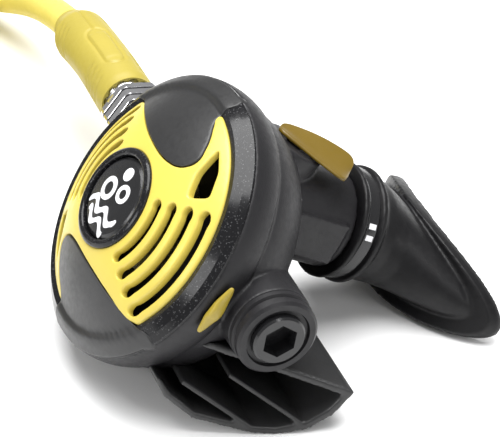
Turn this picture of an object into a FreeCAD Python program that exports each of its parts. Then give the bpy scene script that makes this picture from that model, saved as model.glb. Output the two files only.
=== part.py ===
"""Second-stage scuba regulator with its hose, as a parametric assembly of separate pieces.

Working frame (millimetres): the case axis is Y, the cover faces -Y, the mouthpiece points to +Y,
+Z is the diver's up, and the origin is the centre of the joint between the case and the cover ring.
The regulator lies as it is put down on a table: leaning back about X, resting on the exhaust scoop
and on the mouthpiece. Every piece therefore gets the resting placement on top of its own place.
"""
import FreeCAD, Part
import Sketcher
import math
import os
from FreeCAD import Placement, Rotation, Vector

os.makedirs("parts", exist_ok=True)
doc = FreeCAD.newDocument("SecondStage")

# ---------------------------------------------------------------- driving dimensions
SIZES = [
    ("lean", 40.0, "lean of the case about X when it lies down, degrees"),
    ("lift", 39.75, "height of the working origin over the table"),
    ("sideways", 4.72, "shift along X that puts the middle of the footprint at the origin"),
    ("setback", -31.89, "shift along Y that puts the middle of the footprint at the origin"),
    ("case_rad", 38.0, "radius of the case at the cover joint"),
    ("case_deep", 29.5, "depth of the case behind the joint"),
    ("bore_rad", 35.6, "bore of the case that takes the diaphragm"),
    ("ledge_rad", 34.0, "bore behind the diaphragm ledge"),
    ("ledge_y", 5.0, "depth of the diaphragm ledge"),
    ("panel_rad", 32.6, "outer radius of the cover panel"),
    ("panel_y", 3.3, "height of the panel edge in front of the joint"),
    ("dome_rad", 60.0, "radius of the cover's dome"),
    ("cover_wall", 2.2, "wall of the cover"),
    ("bezel_rad", 13.4, "outer radius of the purge bezel"),
    ("bezel_bore", 11.2, "bore of the purge bezel"),
    ("button_rad", 10.9, "radius of the purge button"),
    ("stem_rad", 3.0, "radius of the purge button's stem"),
    ("plate_rad", 14.0, "radius of the diaphragm plate"),
    ("axis_y", 18.5, "depth of the valve axis behind the joint"),
    ("axis_z", 3.0, "height of the valve axis over the case axis"),
    ("boss_rad", 10.8, "radius of the side bosses of the case"),
    ("barrel_rad", 7.05, "outer radius of the valve barrel, a 9/16 inch thread"),
    ("barrel_bore", 4.7, "bore of the valve barrel"),
    ("cap_rad", 10.4, "radius of the end cap"),
    ("cap_x", 46.3, "outer face of the end cap"),
    ("plug_rad", 6.75, "radius of the hexagon-socket plug"),
    ("socket_af", 8.0, "across flats of the plug's socket"),
    ("nut_af", 17.5, "across flats of the swivel nut, 11/16 inch"),
    ("nut_x", 47.0, "inner face of the swivel nut, from the case axis"),
    ("nut_len", 15.0, "length of the swivel nut"),
    ("ferrule_rad", 6.9, "radius of the crimped ferrules"),
    ("ferrule_len", 16.0, "length of the crimped ferrules"),
    ("hose_dia", 9.5, "outer diameter of the hose"),
    ("sleeve_rad", 8.3, "outer radius of the hose sleeve"),
    ("sleeve_x", 65.7, "open end of the hose sleeve, from the case axis"),
    ("sleeve_tail", 38.0, "length of the hose sleeve past the ferrule"),
    ("coil_rad", 48.0, "radius of the middle of the coiled hose"),
    ("coil_x", -171.0, "middle of the coil, along X"),
    ("coil_y", -84.0, "middle of the coil, along Y"),
    ("tube_rise", 9.5, "rise of the mouthpiece tube, degrees"),
    ("tube_half", 14.2, "half width of the mouthpiece tube"),
    ("tube_high", 13.2, "half height of the mouthpiece tube"),
    ("spigot_rad", 11.9, "radius of the tube end inside the mouthpiece"),
    ("air_rad", 9.9, "bore of the mouthpiece tube"),
    ("mouth_half", 34.0, "half width of the lip shield of the mouthpiece"),
    ("scoop_half", 50.0, "half width of the exhaust scoop at its back"),
    ("scoop_front", 33.0, "half width of the exhaust scoop at its front"),
    ("valve_rad", 8.0, "radius of the exhaust valve"),
    ("pivot_y", 21.9, "depth of the venturi lever's pivot"),
    ("saddle_z", 34.3, "height of the seat of the venturi lever"),
    ("swing", 31.4, "angle of the venturi lever at rest, degrees"),
    ("lp_rad", 4.76, "radius of the 3/8 inch thread of the low-pressure fitting"),
    ("lp_af", 14.3, "across flats of the low-pressure fitting"),
]

sheet = doc.addObject("Spreadsheet::Sheet", "Sizes")
for row, (alias, number, meaning) in enumerate(SIZES, start=1):
    sheet.set(f"A{row}", meaning)
    sheet.set(f"B{row}", str(number))
    sheet.setAlias(f"B{row}", alias)
doc.recompute()


class Size:
    """A cell of the sheet, or a sum or product of cells, as a number and as a formula."""

    def __init__(self, number, formula):
        self.number = number
        self.formula = formula

    def __add__(self, other):
        other = as_size(other)
        return Size(self.number + other.number, f"({self.formula} + {other.formula})")

    def __sub__(self, other):
        other = as_size(other)
        return Size(self.number - other.number, f"({self.formula} - {other.formula})")

    def __mul__(self, factor):
        return Size(self.number * factor, f"({self.formula} * {factor})")

    def __neg__(self):
        return Size(-self.number, f"(-1 * {self.formula})")


def as_size(value):
    """A plain number as a Size, and a Size as it is."""
    return value if isinstance(value, Size) else Size(float(value), f"({float(value)})")


def cell(alias):
    """The Size of one cell."""
    return Size(float(sheet.get(alias)), f"Sizes.{alias}")


def num(alias):
    """The number in one cell."""
    return float(sheet.get(alias))


LEAN = Rotation(Vector(1, 0, 0), -num("lean"))
REST = Placement(Vector(num("sideways"), num("setback"), num("lift")), LEAN)
VALVE = Placement(Vector(0, num("axis_y"), num("axis_z")), Rotation())
TUBE_START = Vector(0, 12.0, 15.3)
TUBE = Placement(TUBE_START, Rotation(Vector(1, 0, 0), num("tube_rise")))
NODES = []


def keep(thing, label, place=Placement(), resting=True):
    """Name a sub-part, put it in its place and remember it for the export."""
    thing.Label = label
    thing.Placement = REST.multiply(place) if resting else place
    NODES.append(thing)
    return thing


def feature(label, shape, place=Placement(), resting=True):
    """A sub-part whose shape is made with Part's own functions."""
    thing = doc.addObject("Part::Feature", label)
    thing.Shape = shape
    return keep(thing, label, place, resting)


# ---------------------------------------------------------------- PartDesign helpers
def plane(body, role):
    """One origin plane of a body."""
    return next(part for part in body.Origin.OriginFeatures if part.Role == role)


def outline(body, name, role, corners):
    """A closed outline of straight edges, each corner bound to the sheet."""
    sketch = body.newObject("Sketcher::SketchObject", name)
    sketch.AttachmentSupport = [(plane(body, role), "")]
    sketch.MapMode = "FlatFace"
    pairs = [(as_size(across), as_size(up)) for across, up in corners]
    spots = [Vector(across.number, up.number, 0) for across, up in pairs]
    for index, spot in enumerate(spots):
        sketch.addGeometry(Part.LineSegment(spot, spots[(index + 1) % len(spots)]), False)
    for index in range(len(spots)):
        following = (index + 1) % len(spots)
        sketch.addConstraint(Sketcher.Constraint("Coincident", index, 2, following, 1))
    for index, (across, up) in enumerate(pairs):
        for kind, size in (("DistanceX", across), ("DistanceY", up)):
            if abs(size.number) < 1e-9:
                axis = -2 if kind == "DistanceX" else -1
                sketch.addConstraint(Sketcher.Constraint("PointOnObject", index, 1, axis))
                continue
            number = sketch.addConstraint(Sketcher.Constraint(kind, -1, 1, index, 1, size.number))
            sketch.setExpression(f"Constraints[{number}]", size.formula)
    return sketch


def turned(label, corners, axis, place=Placement()):
    """A piece turned about X ("H_Axis") or Y ("V_Axis") from its half section."""
    body = doc.addObject("PartDesign::Body", label)
    sketch = outline(body, label + "_section", "XY_Plane", corners)
    turn = body.newObject("PartDesign::Revolution", label + "_turn")
    turn.Profile = sketch
    turn.ReferenceAxis = (sketch, [axis])
    turn.Angle = 360
    return keep(body, label, place)


def pocket(body, name, role, corners, length, both=True):
    """A through pocket cut in a body from an outline on one of its origin planes."""
    sketch = outline(body, name + "_outline", role, corners)
    cut = body.newObject("PartDesign::Pocket", name)
    cut.Profile = sketch
    cut.Midplane = both
    cut.Length = length
    return cut


# ---------------------------------------------------------------- Part helpers
def section(steps):
    """A closed wire in the XY plane: a point goes on straight, and (middle, end) goes on in an arc."""
    edges = []
    start = last = Vector(*steps[0])
    for step in steps[1:]:
        if isinstance(step[0], tuple):
            middle, end = Vector(*step[0]), Vector(*step[1])
            edges.append(Part.Arc(last, middle, end).toShape())
        else:
            end = Vector(*step)
            edges.append(Part.LineSegment(last, end).toShape())
        last = end
    if last.distanceToPoint(start) > 1e-6:
        edges.append(Part.LineSegment(last, start).toShape())
    return Part.Wire(edges)


def spun(steps):
    """A solid turned about Y from a half section in the XY plane."""
    return Part.Face(section(steps)).revolve(Vector(), Vector(0, 1, 0), 360)


def rod(radius, start, end):
    """A round bar between two points."""
    return Part.makeCylinder(radius, start.distanceToPoint(end), start, end - start)


def oval(half_wide, half_high, along, place):
    """An elliptical wire across the local Y axis of a placement, at a distance along it."""
    major = max(half_wide, half_high)
    minor = min(half_wide, half_high)
    ellipse = Part.Ellipse(Vector(), major, minor)
    turn = Rotation(Vector(1, 0, 0), 90)
    if half_high > half_wide:
        turn = turn.multiply(Rotation(Vector(0, 0, 1), 90))
    wire = Part.Wire([ellipse.toShape()])
    wire.Placement = place.multiply(Placement(Vector(0, along, 0), turn))
    return wire


def loft(wires):
    """A solid through a row of wires."""
    return Part.makeLoft(wires, True, True)


def prism(points, normal_role, start, end):
    """A prism over a closed outline: "Y" outlines hold (x, z), "Z" hold (x, y), "X" hold (y, z)."""
    spread = {
        "X": lambda a, b, depth: Vector(depth, a, b),
        "Y": lambda a, b, depth: Vector(a, depth, b),
        "Z": lambda a, b, depth: Vector(a, b, depth),
    }[normal_role]
    corners = [spread(a, b, start) for a, b in points]
    face = Part.Face(Part.makePolygon(corners + corners[:1]))
    return face.extrude(spread(0, 0, end) - spread(0, 0, 0) - (spread(0, 0, start) - spread(0, 0, 0)))


def hexagon(across_flats, turn=0.0):
    """The six corners of a hexagon."""
    corner = across_flats / 2 / math.cos(math.pi / 6)
    angles = [math.radians(60 * step + turn) for step in range(6)]
    return [(corner * math.cos(angle), corner * math.sin(angle)) for angle in angles]


def spring(radius, wire, length, turns):
    """A round-wire compression spring standing along +Z."""
    path = Part.Wire(Part.makeHelix(length / turns, length, radius))
    ring = Part.Wire(Part.makeCircle(wire / 2, Vector(radius, 0, 0), Vector(0, 1, 0)))
    return path.makePipeShell([ring], True, True)


# ---------------------------------------------------------------- case
AXIS_Y, AXIS_Z = num("axis_y"), num("axis_z")
CASE_OUTER = [
    (0, 0), (38.0, 0), ((38.3, 3.0), (37.3, 8.5)), (36.3, 9.4),
    ((33.2, 19.6), (24.0, 27.4)), ((21.2, 28.9), (18.0, num("case_deep"))), (0, num("case_deep")),
]
CASE_INNER = [
    (0, -1), (num("bore_rad"), -1), (num("bore_rad"), num("ledge_y")), (num("ledge_rad"), num("ledge_y")),
    (33.9, 9.4), ((30.8, 18.8), (22.3, 25.4)), ((20.2, 26.6), (17.6, 27.1)), (0, 27.1),
]
BOSS_OUT, BOSS_IN = 41.2, -46.8
RING_FROM, RING_TO, RING_RAD = 38.0, 39.6, 8.3
LEVER_ROOM = 6.6
SLACK = 0.05
EXHAUST_Z = -14.5


def case_solid():
    """The case as a full solid, without its hollows: the shape that its neighbours are fitted to."""
    boss = rod(num("boss_rad"), Vector(BOSS_IN, AXIS_Y, AXIS_Z), Vector(BOSS_OUT, AXIS_Y, AXIS_Z))
    tube = loft([
        oval(num("tube_half"), num("tube_high"), 6.0, TUBE),
        oval(num("tube_half") - 0.4, num("tube_high") - 0.4, 33.5, TUBE),
    ])
    spigot = loft([oval(num("spigot_rad"), num("spigot_rad"), along, TUBE) for along in (33.0, 45.0)])
    pivot = num("pivot_y")
    saddle = rod(8.4, Vector(0, pivot, 20), Vector(0, pivot, num("saddle_z")))
    return spun(CASE_OUTER).fuse([boss, tube, spigot, saddle])


def case_hollows():
    """Everything that is cut out of the full solid of the case."""
    hollows = [
        spun(CASE_INNER),
        rod(num("barrel_rad"), Vector(BOSS_IN - 1, AXIS_Y, AXIS_Z), Vector(BOSS_OUT + 1, AXIS_Y, AXIS_Z)),
        loft([oval(num("air_rad"), num("air_rad"), along, TUBE) for along in (0.0, 46.0)]),
        rod(2.4, Vector(0, num("pivot_y"), 15), Vector(0, num("pivot_y"), 40)),
        rod(1.5, Vector(0, 26, EXHAUST_Z), Vector(0, 31, EXHAUST_Z)),
        rod(RING_RAD + SLACK, Vector(RING_FROM - SLACK, AXIS_Y, AXIS_Z), Vector(RING_TO + SLACK, AXIS_Y, AXIS_Z)),
        rod(LEVER_ROOM, Vector(0, num("pivot_y"), num("saddle_z")), Vector(0, num("pivot_y"), 45)),
        Part.makeBox(6, 1.9, 7.2, Vector(33.2, 2.75, -3.6)),
    ]
    for step in range(6):
        angle = math.radians(60 * step + 30)
        spot = Vector(4.6 * math.cos(angle), 26, EXHAUST_Z + 4.6 * math.sin(angle))
        hollows.append(rod(1.7, spot, spot + Vector(0, 5, 0)))
    return hollows


full_case = case_solid()
feature("case_shell", full_case.cut(case_hollows()))

# ---------------------------------------------------------------- cover
PANEL_R, PANEL_Y = num("panel_rad"), num("panel_y")
DOME_R = num("dome_rad")
DOME_Y = math.sqrt(DOME_R ** 2 - PANEL_R ** 2) - PANEL_Y
DOME_AT = Vector(0, DOME_Y, 0)

turned("cover_ring", [
    (cell("panel_rad"), -1.0), (cell("panel_rad"), -cell("panel_y")),
    (cell("panel_rad") + 1.6, -cell("panel_y") - 0.25), (cell("case_rad") - 1.6, -2.0),
    (cell("case_rad") - 0.1, -0.6), (cell("case_rad") - 0.1, 0.0),
    (cell("bore_rad") - 0.1, 0.0), (cell("bore_rad") - 0.1, 3.7),
    (cell("ledge_rad"), 3.7), (cell("ledge_rad"), 0.6),
], "V_Axis")

shell = Part.makeSphere(DOME_R, DOME_AT).cut(Part.makeSphere(DOME_R - num("cover_wall"), DOME_AT))
zone = rod(PANEL_R, Vector(0, -20, 0), Vector(0, 0, 0))
zone = zone.cut(rod(num("bezel_rad"), Vector(0, -21, 0), Vector(0, 1, 0)))
panel = shell.common(zone)

SHIELD = [
    (-40.0, 17.0), (-15.6, 16.7), (-4.6, 16.1), (3.3, 16.1), (9.3, 17.4), (11.6, 19.2), (12.3, 21.9),
    (10.4, 25.1), (5.3, 29.3), (1.0, 34.0), (-40.0, 34.0),
]
HORN_WINDOW = [(13.0, 26.6), (15.6, 19.0), (18.9, 15.4), (22.0, 18.6), (18.0, 23.8)]
SLOT_RADII = (16.5, 20.8, 25.1, 29.4)
SLOT_WIDE = 2.1
SLOT_HALF_ANGLE = 31.0


def half_turn_of(points):
    """The same outline turned by half a turn about the cover's axis."""
    return [(-across, -up) for across, up in points]


def slot(radius, side):
    """One curved slot of the cover, as a wedge of a ring that goes through the panel."""
    ring = rod(radius + SLOT_WIDE / 2, Vector(0, -20, 0), Vector(0, 2, 0))
    ring = ring.cut(rod(radius - SLOT_WIDE / 2, Vector(0, -21, 0), Vector(0, 3, 0)))
    reach = 60.0
    corners = [(0, 0)]
    for angle in (-SLOT_HALF_ANGLE, 0.0, SLOT_HALF_ANGLE):
        turn = math.radians(angle)
        corners.append((side * reach * math.cos(turn), reach * math.sin(turn)))
    return ring.common(prism(corners, "Y", -21, 3))


shield_tool = prism(SHIELD, "Y", -20, 0)
inset_tool = prism(half_turn_of(SHIELD), "Y", -20, 0)
windows = [prism(points, "Y", -20, 0) for points in (HORN_WINDOW, half_turn_of(HORN_WINDOW))]
slots = [slot(radius, side) for radius in SLOT_RADII for side in (-1, 1)]
feature("top_shield", panel.common(shield_tool))
feature("lower_inset", panel.common(inset_tool))
feature("cover_grille", panel.cut([shield_tool, inset_tool] + slots + windows))

turned("purge_bezel", [
    (cell("bezel_bore"), -12.5), (cell("bezel_rad") - 0.7, -12.5), (cell("bezel_rad"), -11.8),
    (cell("bezel_rad"), -4.0), (cell("stem_rad") + 0.5, -4.0), (cell("stem_rad") + 0.5, -5.2),
    (cell("bezel_bore"), -5.2),
], "V_Axis")

turned("purge_button", [
    (0, -12.9), (5.6, -12.65), (9.9, -12.15), (cell("button_rad"), -11.5), (cell("button_rad"), -10.6),
    (cell("stem_rad"), -10.6), (cell("stem_rad"), 3.5), (0, 3.5),
], "V_Axis")
turned("purge_emblem", [(0, -13.1), (3.2, -13.05), (5.4, -12.9), (5.4, -12.66), (0, -12.91)], "V_Axis")
spring_up = Rotation(Vector(1, 0, 0), 90)
feature("purge_spring", spring(4.9, 0.7, 4.2, 2.8), Placement(Vector(0, -5.65, 0), spring_up))

# ---------------------------------------------------------------- diaphragm
turned("diaphragm", [
    (cell("plate_rad") + 0.05, 3.9), (21.0, 3.9), (24.5, 5.4), (28.0, 3.9), (cell("bore_rad") - 0.15, 3.9),
    (cell("bore_rad") - 0.15, 4.9), (28.2, 4.9), (24.5, 6.5), (20.8, 4.9), (cell("plate_rad") + 0.05, 4.9),
], "V_Axis")
turned("diaphragm_plate", [(0, 3.8), (cell("plate_rad"), 3.8), (cell("plate_rad"), 4.9), (0, 4.9)], "V_Axis")

# ---------------------------------------------------------------- valve
WINDOW_FROM, WINDOW_TO = 8.4, 21.5
barrel = turned("valve_barrel", [
    (-59.4, cell("barrel_bore")), (-59.4, cell("barrel_rad") - 0.8), (-58.4, cell("barrel_rad")),
    (40.6, cell("barrel_rad")), (40.6, cell("barrel_bore")), (7.0, cell("barrel_bore")),
    (7.0, 2.1), (5.0, 2.1), (5.0, cell("barrel_bore")),
], "H_Axis", VALVE)
lever_window = pocket(barrel, "lever_window", "XZ_Plane", [
    (WINDOW_FROM, -5.6), (WINDOW_TO, -5.6), (WINDOW_TO, 5.6), (WINDOW_FROM, 5.6),
], 9.0, both=False)
lever_window.Reversed = True
outlet = pocket(barrel, "air_outlet", "XY_Plane", [(-16, 0), (-8, 0), (-8, 5.6), (-16, 5.6)], 9.0, both=False)
outlet.Reversed = True
turned("orifice_nozzle", [
    (-44.0, 1.8), (-44.0, 4.65), (-30.0, 4.65), (-28.0, 3.6), (-22.6, 3.0), (-22.0, 2.2), (-22.0, 1.8),
], "H_Axis", VALVE)
turned("poppet_seat", [(-21.9, 0), (-21.9, 3.4), (-20.4, 3.4), (-20.4, 0)], "H_Axis", VALVE)
turned("poppet", [
    (-20.4, 0), (-20.4, 4.2), (-14.0, 4.2), (-14.0, 3.2), (-8.0, 3.2), (-8.0, 4.2), (-4.0, 4.2),
    (-4.0, 1.6), (26.0, 1.6), (26.0, 0),
], "H_Axis", VALVE)
turned("lever_nut", [(16.8, 1.65), (16.8, 4.0), (20.8, 4.0), (20.8, 1.65)], "H_Axis", VALVE)
along_x = Rotation(Vector(0, 1, 0), 90)
poppet_coil = spring(3.3, 0.8, 7.2, 4.0)
feature("poppet_spring", poppet_coil, VALVE.multiply(Placement(Vector(-3.4, 0, 0), along_x)))


PIVOT_ROD = 0.9


def lever_piece():
    """The bent demand lever: arm, pad and the two prongs that straddle the poppet stem."""
    arm_points = [
        (15.5, 12.0), (16.5, 12.0), (16.5, 13.6), (15.5, 13.6), (14.4, 12.1), (8.0, 9.4), (-4.2, 6.4),
        (-4.2, 5.3), (-2.6, 5.2), (8.6, 8.2), (15.0, 11.0),
    ]
    arm = prism(arm_points, "Z", AXIS_Z - 4.0, AXIS_Z + 4.0)
    prongs = [
        Part.makeBox(1.0, 7.9, 1.6, Vector(15.5, 12.4, AXIS_Z + low))
        for low in (-3.9, 2.3)
    ]
    pivot = rod(PIVOT_ROD, Vector(16, 13, AXIS_Z - 4.0), Vector(16, 13, AXIS_Z + 4.0))
    return arm.fuse(prongs + [pivot]).removeSplitter()


feature("demand_lever", lever_piece())
turned("cap_o_ring", [
    (RING_FROM, 7.1), (RING_FROM, RING_RAD), (RING_TO, RING_RAD), (RING_TO, 7.1),
], "H_Axis", VALVE)
turned("barrel_cap", [
    (41.3, cell("plug_rad") + 0.05), (41.3, cell("cap_rad") + 0.2), (42.6, cell("cap_rad") + 0.2),
    (43.0, cell("cap_rad") - 0.5), (43.6, cell("cap_rad") - 0.5), (44.0, cell("cap_rad")),
    (45.6, cell("cap_rad")), (cell("cap_x"), cell("cap_rad") - 0.7), (cell("cap_x"), 8.2),
    (45.4, 7.9), (45.4, cell("plug_rad") + 0.05),
], "H_Axis", VALVE)
plug = turned("hex_plug", [
    (40.7, 0), (40.7, cell("plug_rad")), (47.0, cell("plug_rad")), (47.5, cell("plug_rad") - 0.5), (47.5, 0),
], "H_Axis", VALVE)
HALF_FLAT, FLAT_SIDE = cell("socket_af") * 0.5, cell("socket_af") * 0.57735
hexagon_corners = [
    (FLAT_SIDE, 0), (FLAT_SIDE * 0.5, HALF_FLAT), (-FLAT_SIDE * 0.5, HALF_FLAT),
    (-FLAT_SIDE, 0), (-FLAT_SIDE * 0.5, -HALF_FLAT), (FLAT_SIDE * 0.5, -HALF_FLAT),
]
socket_sketch = outline(plug, "socket_outline", "YZ_Plane", hexagon_corners)
socket_sketch.AttachmentOffset = Placement(Vector(0, 0, 47.5), Rotation())
socket_cut = plug.newObject("PartDesign::Pocket", "hex_socket")
socket_cut.Profile = socket_sketch
socket_cut.Length = 4.6

# ---------------------------------------------------------------- exhaust
SCOOP_SIDE = [
    (8.0, -25.6), (12.0, -28.4), (20.0, -29.0), (33.0, -23.6), (38.0, -20.0), (42.7, -14.4),
    (45.2, -8.0), (46.0, 0.0),
    (44.0, 0.0), (10.0, -10.5), (8.0, -12.0),
]
SCOOP_HOLLOW = [
    (3.0, -22.6), (12.4, -26.5), (19.8, -27.2), (32.2, -22.0), (36.7, -18.8), (41.0, -13.6),
    (43.4, -7.4), (44.0, -2.2),
    (12.0, -12.0), (3.0, -14.0),
]
HALF_FRONT, HALF_BACK = num("scoop_front"), num("scoop_half")
SCOOP_PLAN = [(-HALF_FRONT, 8), (HALF_FRONT, 8), (HALF_BACK - 1.5, 42), (HALF_BACK, 46.1),
              (-HALF_BACK, 46.1), (-HALF_BACK + 1.5, 42)]
VANES = [(-22.5, 13.0, 32.6), (-14.4, 20.5, 40.8)]
VANE_THICK, VANE_DEEP = 1.3, 14.0


def scoop_piece():
    """The exhaust scoop: a wide duct behind the case, open at both sides, with two vanes a side."""
    plan = prism(SCOOP_PLAN, "Z", -40, 10)
    outer = prism(SCOOP_SIDE, "X", -60, 60).common(plan)
    duct = outer.cut(prism(SCOOP_HOLLOW, "X", -60, 60))
    for height, front, back in VANES:
        for side in (-1, 1):
            inner = HALF_FRONT - 8.0
            blade = Part.makeBox(40, back - front, VANE_THICK, Vector(inner, front, height - VANE_THICK / 2))
            if side < 0:
                blade = blade.mirror(Vector(), Vector(1, 0, 0))
            duct = duct.fuse(blade.common(plan))
    return duct.cut(full_case).removeSplitter()


feature("exhaust_scoop", scoop_piece())
EXHAUST = Placement(Vector(0, 0, EXHAUST_Z), Rotation())
turned("exhaust_valve", [
    (0, 25.4), (1.9, 25.9), (1.3, 26.9), (1.3, 29.6), (cell("valve_rad") - 1.0, 29.6), (cell("valve_rad"), 29.9),
    (cell("valve_rad"), 30.3), (1.6, 30.7), (0, 30.7),
], "V_Axis", EXHAUST)

# ---------------------------------------------------------------- venturi lever
PIVOT = Vector(0, num("pivot_y"), 0)
SWUNG = Placement(PIVOT, Rotation(Vector(0, 0, 1), -num("swing")))
SEAT_Z = num("saddle_z") + 0.3


def venturi_piece():
    """The thumb lever on top of the tube: narrow over its pivot, and a sloping thumb rest at its far end."""
    side = [(5.6, 15.2), ((5.0, 15.9), (3.0, 15.9)), (-3.0, 15.9), ((-5.0, 15.9), (-5.6, 15.2))]
    steps = [(3.6, 0.0)] + [side[0]] + side[1:] + [(-3.6, 0.0), ((-3.2, -4.6), (0.0, -5.8)),
                                                 ((3.2, -4.6), (3.6, 0.0))]
    blade = Part.Face(section(steps)).extrude(Vector(0, 0, 6.0))
    across = prism([(-7.0, 0.0), (7.0, 0.0), (7.0, 1.2), (-7.0, 5.4)], "Y", -8.0, 18.0)
    along = prism([(-7.0, 0.0), (18.0, 0.0), (18.0, 5.4), (5.0, 5.0), (-7.0, 1.8)], "X", -8.0, 8.0)
    return blade.common(across).common(along)


feature("venturi_lever", venturi_piece(), SWUNG.multiply(Placement(Vector(0, 0, SEAT_Z), Rotation())))
shaft = rod(2.1, Vector(0, 0, 14.0), Vector(0, 0, SEAT_Z))
vane = Part.makeBox(1.2, 12.0, 9.6, Vector(-0.6, -6.0, 13.4))
feature("venturi_shaft", shaft.fuse(vane).removeSplitter(), SWUNG)

# ---------------------------------------------------------------- cover lock tab
TAB = [(-7.0, 2.6), (-5.6, 1.9), (5.6, 1.9), (7.0, 2.6), (7.0, 4.9), (5.6, 5.6), (-5.6, 5.6), (-7.0, 4.9)]


def tab_piece():
    """The tab that locks the cover: a plate outside the band, and a tongue in its slot."""
    face = [(depth, height) for height, depth in TAB]
    plate = prism(face, "X", 38.7, 40.3)
    tongue = Part.makeBox(3.4, 1.3, 6.4, Vector(35.6, 3.05, -3.2))
    return plate.fuse(tongue).removeSplitter()


feature("lock_tab", tab_piece())

# ---------------------------------------------------------------- mouthpiece
COLLAR_FROM, COLLAR_TO = 34.0, 46.5
MOUTH_HALF = num("mouth_half")


def mouthpiece_piece():
    """The soft mouthpiece: collar, flaring neck, lip shield bowed round the teeth, two bite tabs."""
    collar = loft([oval(14.2, 14.0, COLLAR_FROM, TUBE), oval(14.4, 13.8, COLLAR_TO, TUBE)])
    neck = loft([
        oval(14.4, 13.8, COLLAR_TO, TUBE), oval(16.0, 11.0, 52.0, TUBE), oval(24.0, 9.4, 64.0, TUBE),
    ])
    ribs = [
        loft([oval(15.2, 15.0, start, TUBE), oval(15.2, 15.0, start + 1.6, TUBE)])
        for start in (COLLAR_FROM, 40.2)
    ]
    wide, ends, middle, thick = MOUTH_HALF + 6.0, 71.2, 56.0, 3.4
    front_arc = ((0.0, middle), (wide, ends))
    back_arc = ((0.0, middle + thick), (-wide, ends + thick))
    lowered = TUBE.multiply(Placement(Vector(0, 0, -20), Rotation()))
    bow = Part.Face(section([(-wide, ends), front_arc, (wide, ends + thick), back_arc]))
    bow = bow.extrude(Vector(0, 0, 40))
    bow.Placement = lowered
    before = Part.Face(section([(-wide, 20.0), (wide, 20.0), (wide, ends + thick), back_arc]))
    before = before.extrude(Vector(0, 0, 40))
    before.Placement = lowered
    rim_place = TUBE.multiply(Placement(Vector(0, 0, -2.5), Rotation()))
    rim = loft([oval(MOUTH_HALF, 13.0, 50.0, rim_place), oval(MOUTH_HALF, 13.0, 80.0, rim_place)])
    lip_shield = bow.common(rim)
    neck = neck.common(before)
    print(f"lip shield {lip_shield.Volume:.0f} mm3, neck {neck.Volume:.0f} mm3")
    tabs = []
    for side in (-1, 1):
        tab = Part.makeBox(12.0, 17.0, 4.6, Vector(side * 21.0 - 6.0, 61.5, -0.6))
        tab.Placement = TUBE
        tabs.append(tab)
    outer = collar.fuse([neck, lip_shield] + ribs + tabs)
    bore = loft([oval(12.0, 11.95, COLLAR_FROM - 1, TUBE), oval(12.0, 11.95, 45.1, TUBE)])
    throat = loft([
        oval(10.4, 10.0, 45.0, TUBE), oval(11.0, 7.4, 53.0, TUBE), oval(12.4, 5.6, 66.0, TUBE),
    ])
    return outer.cut([bore, throat])


mouthpiece = feature("mouthpiece", mouthpiece_piece())
turned("mouthpiece_tie", [(14.5, 36.0), (15.3, 36.2), (15.3, 39.7), (14.5, 39.9)], "V_Axis", TUBE)
head_box = Part.makeBox(5.2, 5.0, 3.4, Vector(-2.6, 35.5, -18.8))
head_box = head_box.makeFillet(0.6, head_box.Edges)
HEAD_TURN = Rotation(Vector(0, 1, 0), 40)
feature("tie_head", head_box, TUBE.multiply(Placement(Vector(), HEAD_TURN)))

# ---------------------------------------------------------------- hose end at the case
NUT_X, NUT_END = -num("nut_x"), -num("nut_x") - num("nut_len")
FERRULE_END = -78.0


def nut_piece():
    """The swivel nut: a hexagon bar, chamfered at its ends, with three turned grooves."""
    bar = prism(hexagon(num("nut_af"), 30.0), "X", NUT_END, NUT_X)
    steps = [
        (NUT_X, 0), (NUT_X, 9.0), (NUT_X - 1.0, 10.4), (NUT_END + 6.4, 10.4), (NUT_END + 6.0, 9.2),
        (NUT_END + 5.2, 9.2), (NUT_END + 4.8, 10.0), (NUT_END + 4.4, 10.0), (NUT_END + 4.0, 8.9),
        (NUT_END + 3.2, 8.9), (NUT_END + 2.8, 9.5), (NUT_END + 2.4, 9.5), (NUT_END + 2.0, 8.6),
        (NUT_END + 1.4, 8.6), (NUT_END + 1.0, 8.8), (NUT_END, 8.2), (NUT_END, 0),
    ]
    envelope = Part.Face(section(steps)).revolve(Vector(), Vector(1, 0, 0), 360)
    thread = rod(num("barrel_rad") + 0.05, Vector(-59.6, 0, 0), Vector(NUT_X + 1, 0, 0))
    throat = rod(5.65, Vector(NUT_END - 1, 0, 0), Vector(-59, 0, 0))
    return bar.common(envelope).cut([thread, throat])


feature("swivel_nut", nut_piece(), VALVE)
turned("hose_ferrule", [
    (-59.5, 2.6), (-59.5, 5.6), (-64.6, 5.6), (-66.0, cell("ferrule_rad") - 0.5),
    (-66.6, cell("ferrule_rad")), (FERRULE_END + 0.6, cell("ferrule_rad")),
    (FERRULE_END, cell("ferrule_rad") - 0.6), (FERRULE_END, 2.6),
], "H_Axis", VALVE)
# ---------------------------------------------------------------- hose
HOSE_R = num("hose_dia") / 2
EXIT = REST.multVec(Vector(FERRULE_END, AXIS_Y, AXIS_Z))
FLOOR = HOSE_R + 0.15
COIL_AT = Vector(num("coil_x"), num("coil_y"), 0)
COIL_R = num("coil_rad")
COIL_START, COIL_SWEEP, LAYERS = 118.0, 882.0, 3


def on_coil(angle, height, radius=COIL_R):
    """A point of the coil at an angle in degrees."""
    turn = math.radians(angle)
    return COIL_AT + Vector(radius * math.cos(turn), radius * math.sin(turn), height)


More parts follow.
